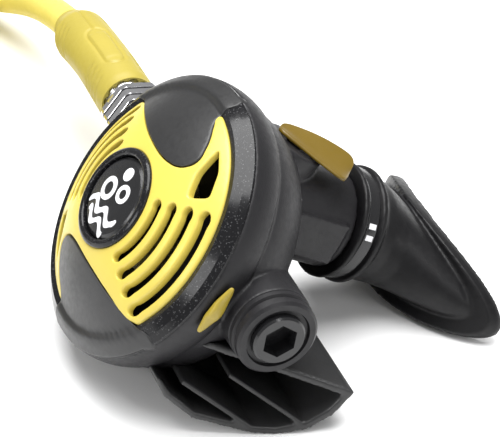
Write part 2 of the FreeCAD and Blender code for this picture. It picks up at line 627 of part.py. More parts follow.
def hose_shape(route, radius, name):
    """A round tube along straight runs joined by tangent arcs, and its length."""
    edges = []
    bends = []
    last = route[0]
    for before, corner, after in zip(route, route[1:], route[2:]):
        back, ahead = before - corner, after - corner
        half_turn = (math.pi - back.getAngle(ahead)) / 2
        reach = 0.45 * min(back.Length, ahead.Length)
        back.normalize()
        ahead.normalize()
        bend = reach / math.tan(half_turn)
        start, end = corner + back * reach, corner + ahead * reach
        centre_way = back + ahead
        centre_way.normalize()
        centre = corner + centre_way * math.hypot(bend, reach)
        middle = centre - centre_way * bend
        edges.append(Part.LineSegment(last, start).toShape())
        edges.append(Part.Arc(start, middle, end).toShape())
        last = end
        bends.append(round(bend))
    edges.append(Part.LineSegment(last, route[-1]).toShape())
    path = Part.Wire(edges)
    ring = Part.Wire(Part.makeCircle(radius, route[0], route[1] - route[0]))
    tube = path.makePipeShell([ring], True, False)
    expected = math.pi * radius ** 2 * path.Length
    print(f"{name}: {path.Length:.1f} mm, bend radii {bends}, volume ratio {tube.Volume / expected:.4f}")
    return tube, path.Length


LEAD = [
    EXIT, EXIT + Vector(-9, 0, 0), EXIT + Vector(-27, -0.2, -2.0), EXIT + Vector(-48, -0.8, -6.0),
    EXIT + Vector(-71, -2.8, -12.4), EXIT + Vector(-92.7, -11.4, -20.6),
    EXIT + Vector(-107.7, -19.1, -24.5), on_coil(COIL_START, FLOOR),
]
lead_shape, lead_length = hose_shape(LEAD, HOSE_R, "lead")
feature("hose_tube", lead_shape, resting=False)


def sleeve_piece():
    """The soft sleeve: straight over the ferrule, then bent with the hose."""
    outer_rad = num("sleeve_rad")
    mouth = REST.multVec(Vector(-num("sleeve_x"), AXIS_Y, AXIS_Z))
    cut_end = EXIT + Vector(-num("sleeve_tail"), 0, 0)
    ahead_only = Part.makeBox(200, 200, 200, Vector(cut_end.x, cut_end.y - 100, cut_end.z - 100))
    bent, _ = hose_shape(LEAD, outer_rad, "sleeve")
    outer = bent.common(ahead_only).fuse(rod(outer_rad, mouth, EXIT))
    room, _ = hose_shape(LEAD, HOSE_R + 0.02, "sleeve bore")
    seat = rod(num("ferrule_rad") + 0.05, mouth + Vector(1, 0, 0), EXIT)
    recess = rod(7.5, mouth + Vector(1, 0, 0), mouth + Vector(-2.5, 0, 0))
    return outer.cut([room, seat, recess]).removeSplitter()


feature("hose_sleeve", sleeve_piece(), resting=False)

COIL_TOP = FLOOR + num("hose_dia") * (LAYERS - 1)
coil_height = COIL_TOP + HOSE_R - 0.15
coil_shape = Part.makeCylinder(COIL_R + HOSE_R, coil_height, COIL_AT + Vector(0, 0, 0.15))
coil_shape = coil_shape.cut(Part.makeCylinder(COIL_R - HOSE_R, 60, COIL_AT))
feature("hose_coil", coil_shape, resting=False)

COIL_END = COIL_START + COIL_SWEEP
LP_Z = num("lp_af") / 2 + 0.2
tail_start = on_coil(COIL_END, COIL_TOP)
ahead = (on_coil(COIL_END + 90, COIL_TOP) - COIL_AT - Vector(0, 0, COIL_TOP)) * (1 / COIL_R)
aside = ahead.cross(Vector(0, 0, 1))


def tail_point(forward, sideways, height):
    """A point of the hose's far end, measured from where it leaves the coil."""
    spot = tail_start + ahead * forward + aside * sideways
    return Vector(spot.x, spot.y, height)


TAIL = [
    tail_start, tail_point(14, 0, COIL_TOP - 0.3), tail_point(30, 0.3, 20.4), tail_point(47, 0.8, 13.2),
    tail_point(62, 1.2, 8.6), tail_point(75, 1.3, LP_Z), tail_point(87, 1.2, LP_Z),
]
tail_shape, tail_length = hose_shape(TAIL, HOSE_R, "tail")
feature("hose_tail", tail_shape, resting=False)
hose_length = lead_length + math.radians(COIL_SWEEP) * COIL_R + tail_length
print(f"hose length {hose_length:.0f} mm")

# ---------------------------------------------------------------- far end of the hose
way = (TAIL[-1] - TAIL[-2]).normalize()
FAR = Placement(TAIL[-1], Rotation(Vector(1, 0, 0), way))
LP_HEX_FROM, LP_HEX_TO = 21.5, 29.5


def far_turned(label, steps):
    """A piece turned about the far end's axis."""
    solid = Part.Face(section(steps)).revolve(Vector(), Vector(1, 0, 0), 360)
    return feature(label, solid, FAR, resting=False)


FERRULE_R = num("ferrule_rad")
FERRULE_L = num("ferrule_len")
far_turned("far_ferrule", [
    (0, 2.6), (0, FERRULE_R - 0.6), (0.6, FERRULE_R), (FERRULE_L, FERRULE_R), (FERRULE_L + 1.2, 5.6),
    (LP_HEX_FROM, 5.6), (LP_HEX_FROM, 2.6),
])
LP_R = num("lp_rad")
lp_body = Part.Face(section([
    (LP_HEX_FROM, 1.8), (LP_HEX_FROM, 7.4), (LP_HEX_FROM + 0.8, 8.4), (LP_HEX_TO - 0.8, 8.4),
    (LP_HEX_TO, 7.4), (LP_HEX_TO, 3.7), (LP_HEX_TO + 1.9, 3.7), (LP_HEX_TO + 1.9, LP_R),
    (LP_HEX_TO + 9.3, LP_R), (LP_HEX_TO + 10.0, LP_R - 0.7), (LP_HEX_TO + 10.0, 1.8),
])).revolve(Vector(), Vector(1, 0, 0), 360)
lp_bar = prism(hexagon(num("lp_af")), "X", LP_HEX_FROM - 1, LP_HEX_TO)
lp_bar = lp_bar.fuse(rod(6.0, Vector(LP_HEX_TO, 0, 0), Vector(LP_HEX_TO + 20, 0, 0)))
feature("lp_fitting", lp_body.common(lp_bar), FAR, resting=False)
far_turned("lp_o_ring", [
    (LP_HEX_TO + 0.05, 3.75), (LP_HEX_TO + 0.05, 5.2), (LP_HEX_TO + 1.8, 5.2), (LP_HEX_TO + 1.8, 3.75),
])

doc.recompute()
for thing in NODES:
    broken = [state for state in thing.State if state in ("Invalid", "Error")]
    if broken or thing.Shape.isNull() or not thing.Shape.isValid():
        raise RuntimeError(f"{thing.Label}: {thing.State} valid={thing.Shape.isValid()}")
    box = thing.Shape.BoundBox
    solids = len(thing.Shape.Solids)
    print(f"{thing.Label:18s} solids {solids} vol {thing.Shape.Volume:9.1f}"
          f"  x {box.XMin:7.1f} {box.XMax:7.1f}  y {box.YMin:7.1f} {box.YMax:7.1f}"
          f"  z {box.ZMin:6.1f} {box.ZMax:6.1f}")
    thing.Shape.exportStep(f"parts/{thing.Label}.step")
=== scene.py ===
# %% [markdown]
# # A diver's second stage
#
# A second stage is the part of a diving regulator that goes in the mouth. It hangs on a yellow hose:
# a round case with a yellow purge cover, a tube with a soft mouthpiece, and a wide rubber scoop that
# leads the bubbles away. The parts with a real fit come ready made as a frame of named solids. This
# lesson dresses that frame: it adds the soft pieces, the small moulded details and every finish.

# %% Load the frame
import math

import bpy
import bmesh
from mathutils import Matrix, Vector


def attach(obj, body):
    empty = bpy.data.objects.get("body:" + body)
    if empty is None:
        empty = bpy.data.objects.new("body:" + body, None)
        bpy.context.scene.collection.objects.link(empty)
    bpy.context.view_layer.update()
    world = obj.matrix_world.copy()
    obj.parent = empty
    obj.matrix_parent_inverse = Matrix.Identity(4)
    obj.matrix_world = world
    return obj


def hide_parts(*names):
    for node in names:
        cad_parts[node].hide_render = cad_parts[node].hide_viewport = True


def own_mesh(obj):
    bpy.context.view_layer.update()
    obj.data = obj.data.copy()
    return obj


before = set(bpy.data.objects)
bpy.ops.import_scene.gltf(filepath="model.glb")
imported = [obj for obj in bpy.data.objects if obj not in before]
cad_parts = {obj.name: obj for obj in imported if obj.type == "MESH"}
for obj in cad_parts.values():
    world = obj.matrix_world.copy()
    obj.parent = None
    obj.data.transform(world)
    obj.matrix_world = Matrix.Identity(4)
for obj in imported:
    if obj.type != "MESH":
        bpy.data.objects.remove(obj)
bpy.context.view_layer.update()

# %% [markdown]
# The regulator is designed standing upright, in millimetres: X runs along the valve, Y is the axis of
# the round case and points to the mouth, and Z is the diver's up. On the table it leans back by forty
# degrees. One matrix takes a point from that upright drawing to its place on the table in metres, so
# every piece below can be drawn upright, where the numbers are easy to read.

# %% From the drawing to the table
LEAN = math.radians(-40)
CASE_ON_TABLE = Matrix.Translation((0.00472, -0.03189, 0.03975)) @ Matrix.Rotation(LEAN, 4, "X")
TO_TABLE = CASE_ON_TABLE @ Matrix.Scale(0.001, 4)
TUBE_START = Vector((0, 12.0, 15.3))
TUBE_RISE = math.radians(9.5)
TUBE = Matrix.Translation(TUBE_START) @ Matrix.Rotation(TUBE_RISE, 4, "X")
VALVE_Y, VALVE_Z = 18.5, 3.0
print("case centre on the table:", [round(v, 4) for v in TO_TABLE @ Vector((0, 0, 0))])

# %% [markdown]
# The camera comes first, because the hose is allowed to lie coiled only where the camera doesn't look.
# It stands to the right of the cover and looks down on it with a long lens, as for a catalogue.

# %% Camera
CAMERA_AT = Vector((0.43797, -0.17275, 0.36590))
CAMERA_AZIMUTH, CAMERA_HEIGHT = math.radians(68.85), math.radians(35.73)
CAMERA_LENS, SENSOR_WIDTH = 161.3, 36


def linked(name, data):
    """A new object in the scene."""
    made = bpy.data.objects.new(name, data)
    bpy.context.scene.collection.objects.link(made)
    return made


toward_camera = Vector((
    math.cos(CAMERA_HEIGHT) * math.sin(CAMERA_AZIMUTH),
    -math.cos(CAMERA_HEIGHT) * math.cos(CAMERA_AZIMUTH),
    math.sin(CAMERA_HEIGHT),
))
camera_data = bpy.data.cameras.new("camera")
camera_data.sensor_width = SENSOR_WIDTH
camera_data.lens = CAMERA_LENS
camera = linked("camera", camera_data)
camera.location = CAMERA_AT
camera.rotation_euler = toward_camera.to_track_quat("Z", "Y").to_euler()
bpy.context.scene.camera = camera
print("camera looks along", [round(-v, 3) for v in toward_camera])

# %% [markdown]
# ## The hose
#
# A low-pressure hose is a rubber tube with a woven layer inside, about nine and a half millimetres
# thick, and this one, for a diver's spare second stage, is nearly a metre long. A NURBS curve with a
# round bevel is the natural way to make it: the points are only hints, and the curve flows between
# them as rubber does. It leaves the ferrule level, droops to the table and then goes into a neat coil
# of two and a half turns.

# %% Where the hose goes
HOSE_RADIUS = 0.00475
FLOOR_LINE = HOSE_RADIUS + 0.00015
FERRULE_END = -78.0
EXIT = TO_TABLE @ Vector((FERRULE_END, VALVE_Y, VALVE_Z))
LEAD = [
    (0, 0, 0), (-0.009, 0, 0), (-0.027, -0.0002, -0.0020), (-0.048, -0.0008, -0.0060),
    (-0.071, -0.0028, -0.0124), (-0.0927, -0.0114, -0.0206), (-0.1077, -0.0191, -0.0245),
]
COIL_AT = Vector((-0.171, -0.084, 0))
COIL_RADIUS = 0.048
COIL_START, COIL_SWEEP, LAYERS = 118, 882, 3
COIL_STEPS = 42
CLIMB_LENGTH = 60


def on_coil(angle, height):
    """A point of the coil at an angle in degrees."""
    turn = math.radians(angle)
    return COIL_AT + Vector((COIL_RADIUS * math.cos(turn), COIL_RADIUS * math.sin(turn), height))


coil_points = []
for step in range(COIL_STEPS + 1):
    wound = COIL_SWEEP * step / COIL_STEPS
    layer = sum(
        min(1.0, max(0.0, (wound - 360 * turn + CLIMB_LENGTH) / CLIMB_LENGTH))
        for turn in range(1, LAYERS)
    )
    coil_points.append(on_coil(COIL_START + wound, FLOOR_LINE + layer * 2 * HOSE_RADIUS))

tail_start = coil_points[-1]
tail_turn = math.radians(COIL_START + COIL_SWEEP + 90)
tail_way = Vector((math.cos(tail_turn), math.sin(tail_turn), 0))
tail_side = Vector((tail_way.y, -tail_way.x, 0))
TAIL = [
    (0.014, 0, 0.0236), (0.030, 0.0003, 0.0204), (0.047, 0.0008, 0.0132),
    (0.062, 0.0012, 0.0086), (0.075, 0.0013, 0.00735), (0.087, 0.0012, 0.00735),
]
tail_points = []
for forward, sideways, height in TAIL:
    point = tail_start + tail_way * forward + tail_side * sideways
    point.z = height
    tail_points.append(point)
hose_route = [EXIT + Vector(step) for step in LEAD] + coil_points + tail_points
print("hose points:", len(hose_route))


# %% [markdown]
# The curve gets its order and its clamped ends after the points are in, because a spline with too few
# points lowers its own order. The bevel is one metre deep and each point's radius scales it down to
# the hose, because a point's own radius also counts towards the curve's box. A second curve without a
# bevel gives the middle line as plain points, which the hose's sleeve will follow.

# %% Lay the hose
FULL_BEVEL = 1.0


def worked_out(made):
    """The mesh that an object comes to with its bevel or modifiers. The object itself is removed."""
    bpy.context.view_layer.update()
    graph = bpy.context.evaluated_depsgraph_get()
    mesh = bpy.data.meshes.new_from_object(made.evaluated_get(graph))
    bpy.data.objects.remove(made)
    return mesh


def flowing_curve(name, points, radius):
    """An open NURBS curve with a round bevel."""
    data = bpy.data.curves.new(name, "CURVE")
    data.dimensions = "3D"
    spline = data.splines.new("NURBS")
    spline.points.add(len(points) - 1)
    for knot, point in zip(spline.points, points):
        knot.co = (*point, 1)
        knot.radius = radius
    spline.order_u = 3
    spline.use_endpoint_u = True
    spline.resolution_u = 12
    data.bevel_depth = FULL_BEVEL if radius else 0.0
    data.bevel_resolution = 8
    data.use_fill_caps = True
    return linked(name, data)


def middle_line(points):
    """The points that a flowing curve passes through, in order."""
    mesh = worked_out(flowing_curve("bare_line", points, 0))
    line = [vertex.co.copy() for vertex in mesh.vertices]
    bpy.data.meshes.remove(mesh)
    return line


hose = flowing_curve("hose", hose_route, HOSE_RADIUS)
hose_line = middle_line(hose_route)
run = sum((b - a).length for a, b in zip(hose_line, hose_line[1:]))
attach(hose, "case")
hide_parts("hose_tube", "hose_coil", "hose_tail")
print(f"hose line {run * 1000:.0f} mm, from {len(hose_line)} points")

# %% [markdown]
# ## Floor and light
#
# A product on white needs two things: a floor so bright that it melts into the background, and large
# soft lamps. A big lamp overhead gives the tops of the dark parts their grey sheen, and a narrow lamp
# at the side draws the bright streaks along the glossy ring.

# %% Floor
FLOOR_SIZE = 4.0


def plain_material(name, colour, roughness):
    """A material with one colour and one roughness, and its shader node."""
    material = bpy.data.materials.new(name)
    material.use_nodes = True
    shader = material.node_tree.nodes["Principled BSDF"]
    shader.inputs["Base Color"].default_value = (*colour, 1)
    shader.inputs["Roughness"].default_value = roughness
    return material, shader


floor_mesh = bpy.data.meshes.new("floor")
half = FLOOR_SIZE / 2
floor_corners = [(-half, -half, 0), (half, -half, 0), (half, half, 0), (-half, half, 0)]
floor_mesh.from_pydata(floor_corners, [], [(0, 1, 2, 3)])
floor = linked("floor", floor_mesh)
floor_mesh.materials.append(plain_material("floor_paper", (0.93, 0.93, 0.93), 0.6)[0])
print("floor:", FLOOR_SIZE, "m square")

# %% [markdown]
# Each lamp is a flat rectangle that faces the middle of the table. Its row gives a place, a width, a
# height and a power in watts, and a dim white world fills in the shadows.

# %% Lamps
WORLD_STRENGTH = 0.38
world = bpy.data.worlds.new("studio")
bpy.context.scene.world = world
world.use_nodes = True
world.node_tree.nodes["Background"].inputs["Color"].default_value = (1, 1, 1, 1)
world.node_tree.nodes["Background"].inputs["Strength"].default_value = WORLD_STRENGTH
bpy.context.scene.view_settings.view_transform = "Standard"

LAMPS = [
    ("overhead", (-0.15, 0.05, 1.00), 0.9, 0.9, 21.0),
    ("cover_side", (0.25, -0.95, 0.55), 0.40, 0.40, 3.2),
    ("streak", (0.95, 0.30, 0.75), 0.10, 0.80, 2.6),
]
for lamp_name, place, width, height, power in LAMPS:
    lamp_data = bpy.data.lights.new(lamp_name, "AREA")
    lamp_data.shape = "RECTANGLE"
    lamp_data.size, lamp_data.size_y, lamp_data.energy = width, height, power
    lamp = linked(lamp_name, lamp_data)
    lamp.location = place
    lamp.rotation_euler = Vector(place).to_track_quat("Z", "Y").to_euler()
print("lamps:", [row[0] for row in LAMPS])

# %% [markdown]
# ## Finishes
#
# Every finish is made of nodes. Object coordinates are metres on the table, so a noise of scale 2000
# has lumps of about half a millimetre. One helper does what most moulded plastics share: a colour
# that wanders a little, a roughness that wanders a little, and a fine grain that only bends light.

# %% Moulded finishes
def link(tree, source, socket, target, name):
    tree.links.new(source.outputs[socket], target.inputs[name])


def noise(tree, scale, detail=3.0):
    """A noise texture in object coordinates."""
    place = tree.nodes.new("ShaderNodeTexCoord")
    texture = tree.nodes.new("ShaderNodeTexNoise")
    texture.inputs["Scale"].default_value = scale
    texture.inputs["Detail"].default_value = detail
    link(tree, place, "Object", texture, "Vector")
    return texture


def ramp(tree, source, low, high, dark, light):
    """A colour ramp between two colours over part of a source's range."""
    node = tree.nodes.new("ShaderNodeValToRGB")
    node.color_ramp.elements[0].position, node.color_ramp.elements[1].position = low, high
    node.color_ramp.elements[0].color, node.color_ramp.elements[1].color = dark, light
    link(tree, source, "Fac", node, "Fac")
    return node


def span(tree, source, low, high):
    """A value that follows a noise between two limits."""
    node = tree.nodes.new("ShaderNodeMapRange")
    node.inputs["From Min"].default_value, node.inputs["From Max"].default_value = 0.3, 0.7
    node.inputs["To Min"].default_value, node.inputs["To Max"].default_value = low, high
    link(tree, source, "Fac", node, "Value")
    return node


def moulded(name, colour, roughness, grain=2600, depth=0.00004, wander=0.12, specular=0.5):
    """A moulded finish: colour and roughness that wander, and a fine bump of a real depth."""
    material, shader = plain_material(name, colour, roughness)
    tree = material.node_tree
    patches = noise(tree, 90, 4)
    deeper = tuple(channel * (1 - wander) for channel in colour) + (1,)
    paler = tuple(min(1, channel * (1 + wander)) for channel in colour) + (1,)
    link(tree, ramp(tree, patches, 0.3, 0.7, deeper, paler), "Color", shader, "Base Color")
    sheen = span(tree, noise(tree, 700), roughness * 0.85, roughness * 1.15)
    link(tree, sheen, "Result", shader, "Roughness")
    bump = tree.nodes.new("ShaderNodeBump")
    bump.inputs["Distance"].default_value = depth
    bump.inputs["Strength"].default_value = 0.6
    link(tree, noise(tree, grain, 2), "Fac", bump, "Height")
    link(tree, bump, "Normal", shader, "Normal")
    shader.inputs["Specular IOR Level"].default_value = specular
    return material


case_black = moulded(
    "case_black", (0.012, 0.0115, 0.013), 0.46, grain=3200, depth=0.00006, specular=0.34,
)
cover_yellow = moulded("cover_yellow", (0.64, 0.51, 0.085), 0.34, wander=0.04, depth=0.00002)
lever_yellow = moulded("lever_yellow", (0.15, 0.095, 0.006), 0.36, wander=0.05, depth=0.00002)
inlay_grey = moulded("inlay_grey", (0.018, 0.018, 0.0185), 0.40, grain=3600, depth=0.00003)
print_white = moulded("print_white", (0.86, 0.86, 0.88), 0.40, wander=0.03)
mouth_silicone = moulded(
    "mouth_silicone", (0.006, 0.0058, 0.0065), 0.44, grain=1900, depth=0.00005, specular=0.26,
)
scoop_rubber = moulded("scoop_rubber", (0.024, 0.024, 0.0245), 0.34, grain=2200)
hose_yellow = moulded(
    "hose_yellow", (0.68, 0.57, 0.120), 0.48, grain=1500, depth=0.00005, wander=0.04,
)
sleeve_yellow = moulded(
    "sleeve_yellow", (0.40, 0.325, 0.050), 0.50, grain=1500, depth=0.00005, wander=0.04,
)
tab_yellow = moulded("tab_yellow", (0.36, 0.27, 0.030), 0.36, wander=0.05, depth=0.00002)
tie_black = moulded("tie_black", (0.012, 0.012, 0.013), 0.22, wander=0.10)
print("moulded finishes:", len(bpy.data.materials))

# %% [markdown]
# The ring round the cover is glossy black with tiny bright flakes in the lacquer. A Voronoi texture
# gives each cell its own random grey, and only the palest few cells are let through as flakes.

# %% Lacquer with flakes
FLAKE_SCALE = 4200
LACQUER_BLACK, FLAKE_GREY = (0.008, 0.008, 0.009), (0.09, 0.09, 0.093)


def flaked_lacquer(name):
    """Glossy black lacquer with bright flakes."""
    material, shader = plain_material(name, LACQUER_BLACK, 0.16)
    tree = material.node_tree
    place = tree.nodes.new("ShaderNodeTexCoord")
    cells = tree.nodes.new("ShaderNodeTexVoronoi")
    cells.inputs["Scale"].default_value = FLAKE_SCALE
    link(tree, place, "Object", cells, "Vector")
    flake = tree.nodes.new("ShaderNodeValToRGB")
    flake.color_ramp.elements[0].position, flake.color_ramp.elements[1].position = 0.80, 0.93
    flake.color_ramp.elements[0].color = (*LACQUER_BLACK, 1)
    flake.color_ramp.elements[1].color = (*FLAKE_GREY, 1)
    link(tree, cells, "Color", flake, "Fac")
    link(tree, flake, "Color", shader, "Base Color")
    link(tree, span(tree, noise(tree, 400), 0.13, 0.20), "Result", shader, "Roughness")
    shader.inputs["Coat Weight"].default_value = 0.1
    shader.inputs["Coat Roughness"].default_value = 0.06
    shader.inputs["Specular IOR Level"].default_value = 0.22
    return material


ring_lacquer = flaked_lacquer("ring_lacquer")
print("flakes about", round(1000 / FLAKE_SCALE, 2), "mm across")

# %% [markdown]
# The metals are bright plating, dull plating and spring steel. Stretching a noise along one axis gives
# the fine lathe marks that turned metal has, and it only has to move the roughness to be seen.

# %% Metals
LATHE_MARKS, LATHE_STRETCH = 1800, (4.0, 0.4, 0.4)


def metal(name, colour, roughness):
    """A turned metal with fine lathe marks."""
    material, shader = plain_material(name, colour, roughness)
    shader.inputs["Metallic"].default_value = 1.0
    tree = material.node_tree
    place = tree.nodes.new("ShaderNodeTexCoord")
    stretch = tree.nodes.new("ShaderNodeMapping")
    stretch.inputs["Scale"].default_value = LATHE_STRETCH
    lathe = tree.nodes.new("ShaderNodeTexNoise")
    lathe.inputs["Scale"].default_value = LATHE_MARKS
    link(tree, place, "Object", stretch, "Vector")
    link(tree, stretch, "Vector", lathe, "Vector")
    link(tree, span(tree, lathe, roughness * 0.7, roughness * 1.4), "Result", shader, "Roughness")
    darker = tuple(channel * 0.85 for channel in colour) + (1,)
    tint = ramp(tree, noise(tree, 150), 0.3, 0.7, darker, (*colour, 1))
    link(tree, tint, "Color", shader, "Base Color")
    return material


bright_plating = metal("bright_plating", (0.80, 0.80, 0.82), 0.16)
dull_plating = metal("dull_plating", (0.62, 0.60, 0.55), 0.28)
spring_steel = metal("spring_steel", (0.52, 0.52, 0.53), 0.24)
print("all finishes:", len(bpy.data.materials))

# %% [markdown]
# Solids whose shape is already right stay, and only change their finish. The list pairs each finish
# with its solids, the hidden inner ones among them, so that a cut-open view is finished too.

# %% Finish the ready-made solids
FINISHES = [
    (case_black, ["case_shell", "barrel_cap", "venturi_shaft"]),
    (ring_lacquer, ["cover_ring", "purge_bezel"]),
    (cover_yellow, ["cover_grille"]),
    (lever_yellow, ["venturi_lever", "lock_tab"]),
    (inlay_grey, ["top_shield", "lower_inset"]),
    (tie_black, ["purge_button", "hex_plug", "mouthpiece_tie", "tie_head"]),
    (print_white, ["purge_emblem"]),
    (mouth_silicone, ["mouthpiece", "diaphragm", "exhaust_valve"]),
    (scoop_rubber, ["exhaust_scoop", "cap_o_ring", "lp_o_ring", "poppet_seat"]),
    (hose_yellow, ["hose_sleeve", "hose_tube", "hose_coil", "hose_tail"]),
    (bright_plating, ["swivel_nut", "hose_ferrule", "far_ferrule", "lp_fitting", "orifice_nozzle"]),
    (dull_plating, ["valve_barrel", "poppet", "lever_nut", "diaphragm_plate"]),
    (spring_steel, ["purge_spring", "poppet_spring", "demand_lever"]),
]
finished = set()
for finish, names in FINISHES:
    for node_name in names:
        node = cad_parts[node_name]
        node.data.materials.clear()
        node.data.materials.append(finish)
        finished.add(node_name)
hose.data.materials.append(hose_yellow)
print("solids without a finish:", sorted(set(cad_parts) - finished))

# %% [markdown]
# ## Helpers for the soft and moulded pieces
#
# Most of the pieces are skins: rows of points, each row a closed ring, with faces between them. One
# helper turns rows into a mesh, one puts a mesh on the table and hands it to the body it moves with.
# Two more soften a mesh: one by small voxels and smoothing, one by subdivision.

# %% Skins and pieces
VOXEL = 0.42
FULL_TURN = 2 * math.pi


def turns(steps):
    """The angles of a full ring."""
    return [FULL_TURN * index / steps for index in range(steps)]


def skin(name, rings, closed=False):
    """A mesh over rows of rings. A closed skin joins its last ring to its first."""
    mesh = bpy.data.meshes.new(name)
    build = bmesh.new()
    rows = [[build.verts.new(point) for point in ring] for ring in rings]
    count = len(rows[0])
    pairs = list(zip(rows, rows[1:])) + ([(rows[-1], rows[0])] if closed else [])
    for low, high in pairs:
        for index in range(count):
            after = (index + 1) % count
            build.faces.new((low[index], low[after], high[after], high[index]))
    if not closed:
        build.faces.new(list(reversed(rows[0])))
        build.faces.new(rows[-1])
    bmesh.ops.recalc_face_normals(build, faces=build.faces)
    build.to_mesh(mesh)
    build.free()
    return mesh


def piece(name, mesh, body, finish, stands_for=(), place=TO_TABLE, sharp=40):
    """Put a mesh on the table, smooth it, and hand it to the body that it moves with."""
    if place is not None:
        mesh.transform(place)
    mesh.materials.clear()
    mesh.materials.append(finish)
    mesh.shade_smooth()
    mesh.set_sharp_from_angle(angle=math.radians(sharp))
    made = linked(name, mesh)
    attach(made, body)
    if stands_for:
        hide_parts(*stands_for)
    print(f"{name}: {len(mesh.polygons)} faces")
    return made


def melted(mesh, rounds):
    """The same shape as one soft moulding: remeshed in small voxels, then smoothed a few rounds."""
    workpiece = linked("workpiece", mesh)
    remesh = workpiece.modifiers.new("remesh", "REMESH")
    remesh.mode = "VOXEL"
    remesh.voxel_size = VOXEL
    smooth = workpiece.modifiers.new("smooth", "SMOOTH")
    smooth.iterations = rounds
    smooth.factor = 0.5
    return worked_out(workpiece)


def subdivided(mesh):
    """The mesh with Catmull-Clark subdivision applied."""
    workpiece = linked("workpiece", mesh)
    subdivision = workpiece.modifiers.new("subdivision", "SUBSURF")
    subdivision.levels = 2
    return worked_out(workpiece)


print("voxels of", VOXEL, "mm")

# %% [markdown]
# ## The cover
#
# The cover is one domed yellow moulding with curved slots, two pointed windows and soft edges. A flat
# 2-D curve is the easiest way to draw such a plate: Blender fills it, leaves the inner loops open, and
# its bevel rounds every edge at once. The flat plate is then sliced into a fine grid and pushed onto
# the dome, as a press would form it.

# %% The dome and the outlines
DOME_RADIUS, PANEL_RADIUS, PANEL_FRONT = 60.0, 32.6, 3.3
DOME_CENTRE = math.sqrt(DOME_RADIUS ** 2 - PANEL_RADIUS ** 2) - PANEL_FRONT
RIM = [(32.6, -3.3), (34.2, -3.55), (35.4, -2.9), (36.4, -2.0), (37.3, -1.2), (37.9, -0.6), (38.05, 0.0)]


def cover_front(radius):
    """How far in front of the case joint the cover's face lies, at a distance from its middle."""
    if radius <= PANEL_RADIUS:
        return DOME_CENTRE - math.sqrt(DOME_RADIUS ** 2 - radius ** 2)
    for (near, front), (far, back) in zip(RIM, RIM[1:]):
        if radius <= far:
            return front + (back - front) * (radius - near) / (far - near)
    return RIM[-1][1]


def polar(radius, angle):
    """The point at a radius and an angle in degrees round the cover's middle."""
    turn = math.radians(angle)
    return (radius * math.cos(turn), radius * math.sin(turn))


def arc(radius, start, end, step=6.0):
    """Points on an arc round the cover's middle, from one angle to another, in degrees."""
    count = max(2, round(abs(end - start) / step) + 1)
    return [polar(radius, start + (end - start) * index / (count - 1)) for index in range(count)]


def half_turned(points):
    """The same outline turned by half a turn: the cover's pattern comes twice."""
    return [(-across, -up) for across, up in points]


SHIELD_EDGE = [
    (-15.6, 16.7), (-9.8, 16.3), (-4.6, 16.1), (-0.6, 16.0), (3.3, 16.1), (6.6, 16.6), (9.3, 17.5),
    (11.4, 19.3), (12.2, 22.0), (10.3, 25.3), (7.9, 27.7), (5.2, 29.6),
]
HORN = (2.6, 32.0)
WINDOW = [(12.6, 27.4), (14.9, 20.2), (18.6, 14.9), (22.3, 18.5), (18.2, 23.9)]
SLOT_RADII = (16.5, 20.8, 25.1, 29.4)
SLOT_WIDTH, SLOT_REACH = 2.3, 31.0
EDGE_RADIUS = 32.4
print("dome apex", round(cover_front(0), 2), "mm in front of the joint")

# %% [markdown]
# A moulded corner is never sharp. This helper swaps each corner of an outline for a short curve.

# %% Round the corners of an outline
def softened(corners, radius=0.3, steps=3):
    """A closed outline with each corner rounded."""
    rounded = []
    for before, corner, after in zip(corners[-1:] + corners[:-1], corners, corners[1:] + corners[:1]):
        a, b, c = Vector(before), Vector(corner), Vector(after)
        reach = min(radius, (a - b).length * 0.45, (c - b).length * 0.45)
        start, end = b + (a - b).normalized() * reach, b + (c - b).normalized() * reach
        for step in range(steps + 1):
            t = step / steps
            rounded.append(tuple(start * (1 - t) ** 2 + b * 2 * t * (1 - t) + end * t ** 2))
    return rounded


print("window corners:", len(WINDOW), "become", len(softened(WINDOW)), "points")

# %% [markdown]
# The flat plate comes from closed Bezier loops, where a loop inside another is a hole. Pressing it is
# one move of every point towards the dome, after a grid of cuts has given the flat faces enough points.

# %% Press a flat outline onto the dome
GRID_STEP, GRID_SHIFT, GRID_REACH = 1.4, 0.013, 40.0
WELD, CUT_SNAP = 0.002, 0.0005


def flat_plate(name, loops, thickness, bevel=0.0):
    """A flat plate over closed loops, with soft edges."""
    data = bpy.data.curves.new(name, "CURVE")
    data.dimensions = "2D"
    data.fill_mode = "BOTH"
    data.extrude = thickness / 2 - bevel
    data.bevel_depth = bevel
    data.bevel_resolution = 2
    data.offset = -bevel
    for points in loops:
        spline = data.splines.new("BEZIER")
        spline.bezier_points.add(len(points) - 1)
        for knot, (across, up) in zip(spline.bezier_points, points):
            knot.co = (across, up, 0)
            knot.handle_left_type = knot.handle_right_type = "AUTO"
        spline.use_cyclic_u = True
        spline.resolution_u = 4
    return worked_out(linked(name, data))


def pressed_plate(name, loops, thickness, bevel, lift):
    """A plate with soft edges, cut to its loops and pressed onto the cover's face."""
    mesh = flat_plate(name, loops, thickness, bevel)
    build = bmesh.new()
    build.from_mesh(mesh)
    bmesh.ops.remove_doubles(build, verts=build.verts, dist=WELD)
    lines = int(GRID_REACH / GRID_STEP)
    for normal in ((1, 0, 0), (0, 1, 0)):
        for step in range(-lines, lines + 1):
            spot = Vector(normal) * (step * GRID_STEP + GRID_SHIFT)
            bmesh.ops.bisect_plane(
                build, geom=build.verts[:] + build.edges[:] + build.faces[:],
                dist=CUT_SNAP, plane_co=spot, plane_no=normal,
            )
    for vert in build.verts:
        across, up, depth = vert.co
        front = cover_front(math.hypot(across, up)) + thickness / 2 - lift
        vert.co = (across, front - depth, up)
    bmesh.ops.recalc_face_normals(build, faces=build.faces)
    build.to_mesh(mesh)
    build.free()
    return mesh


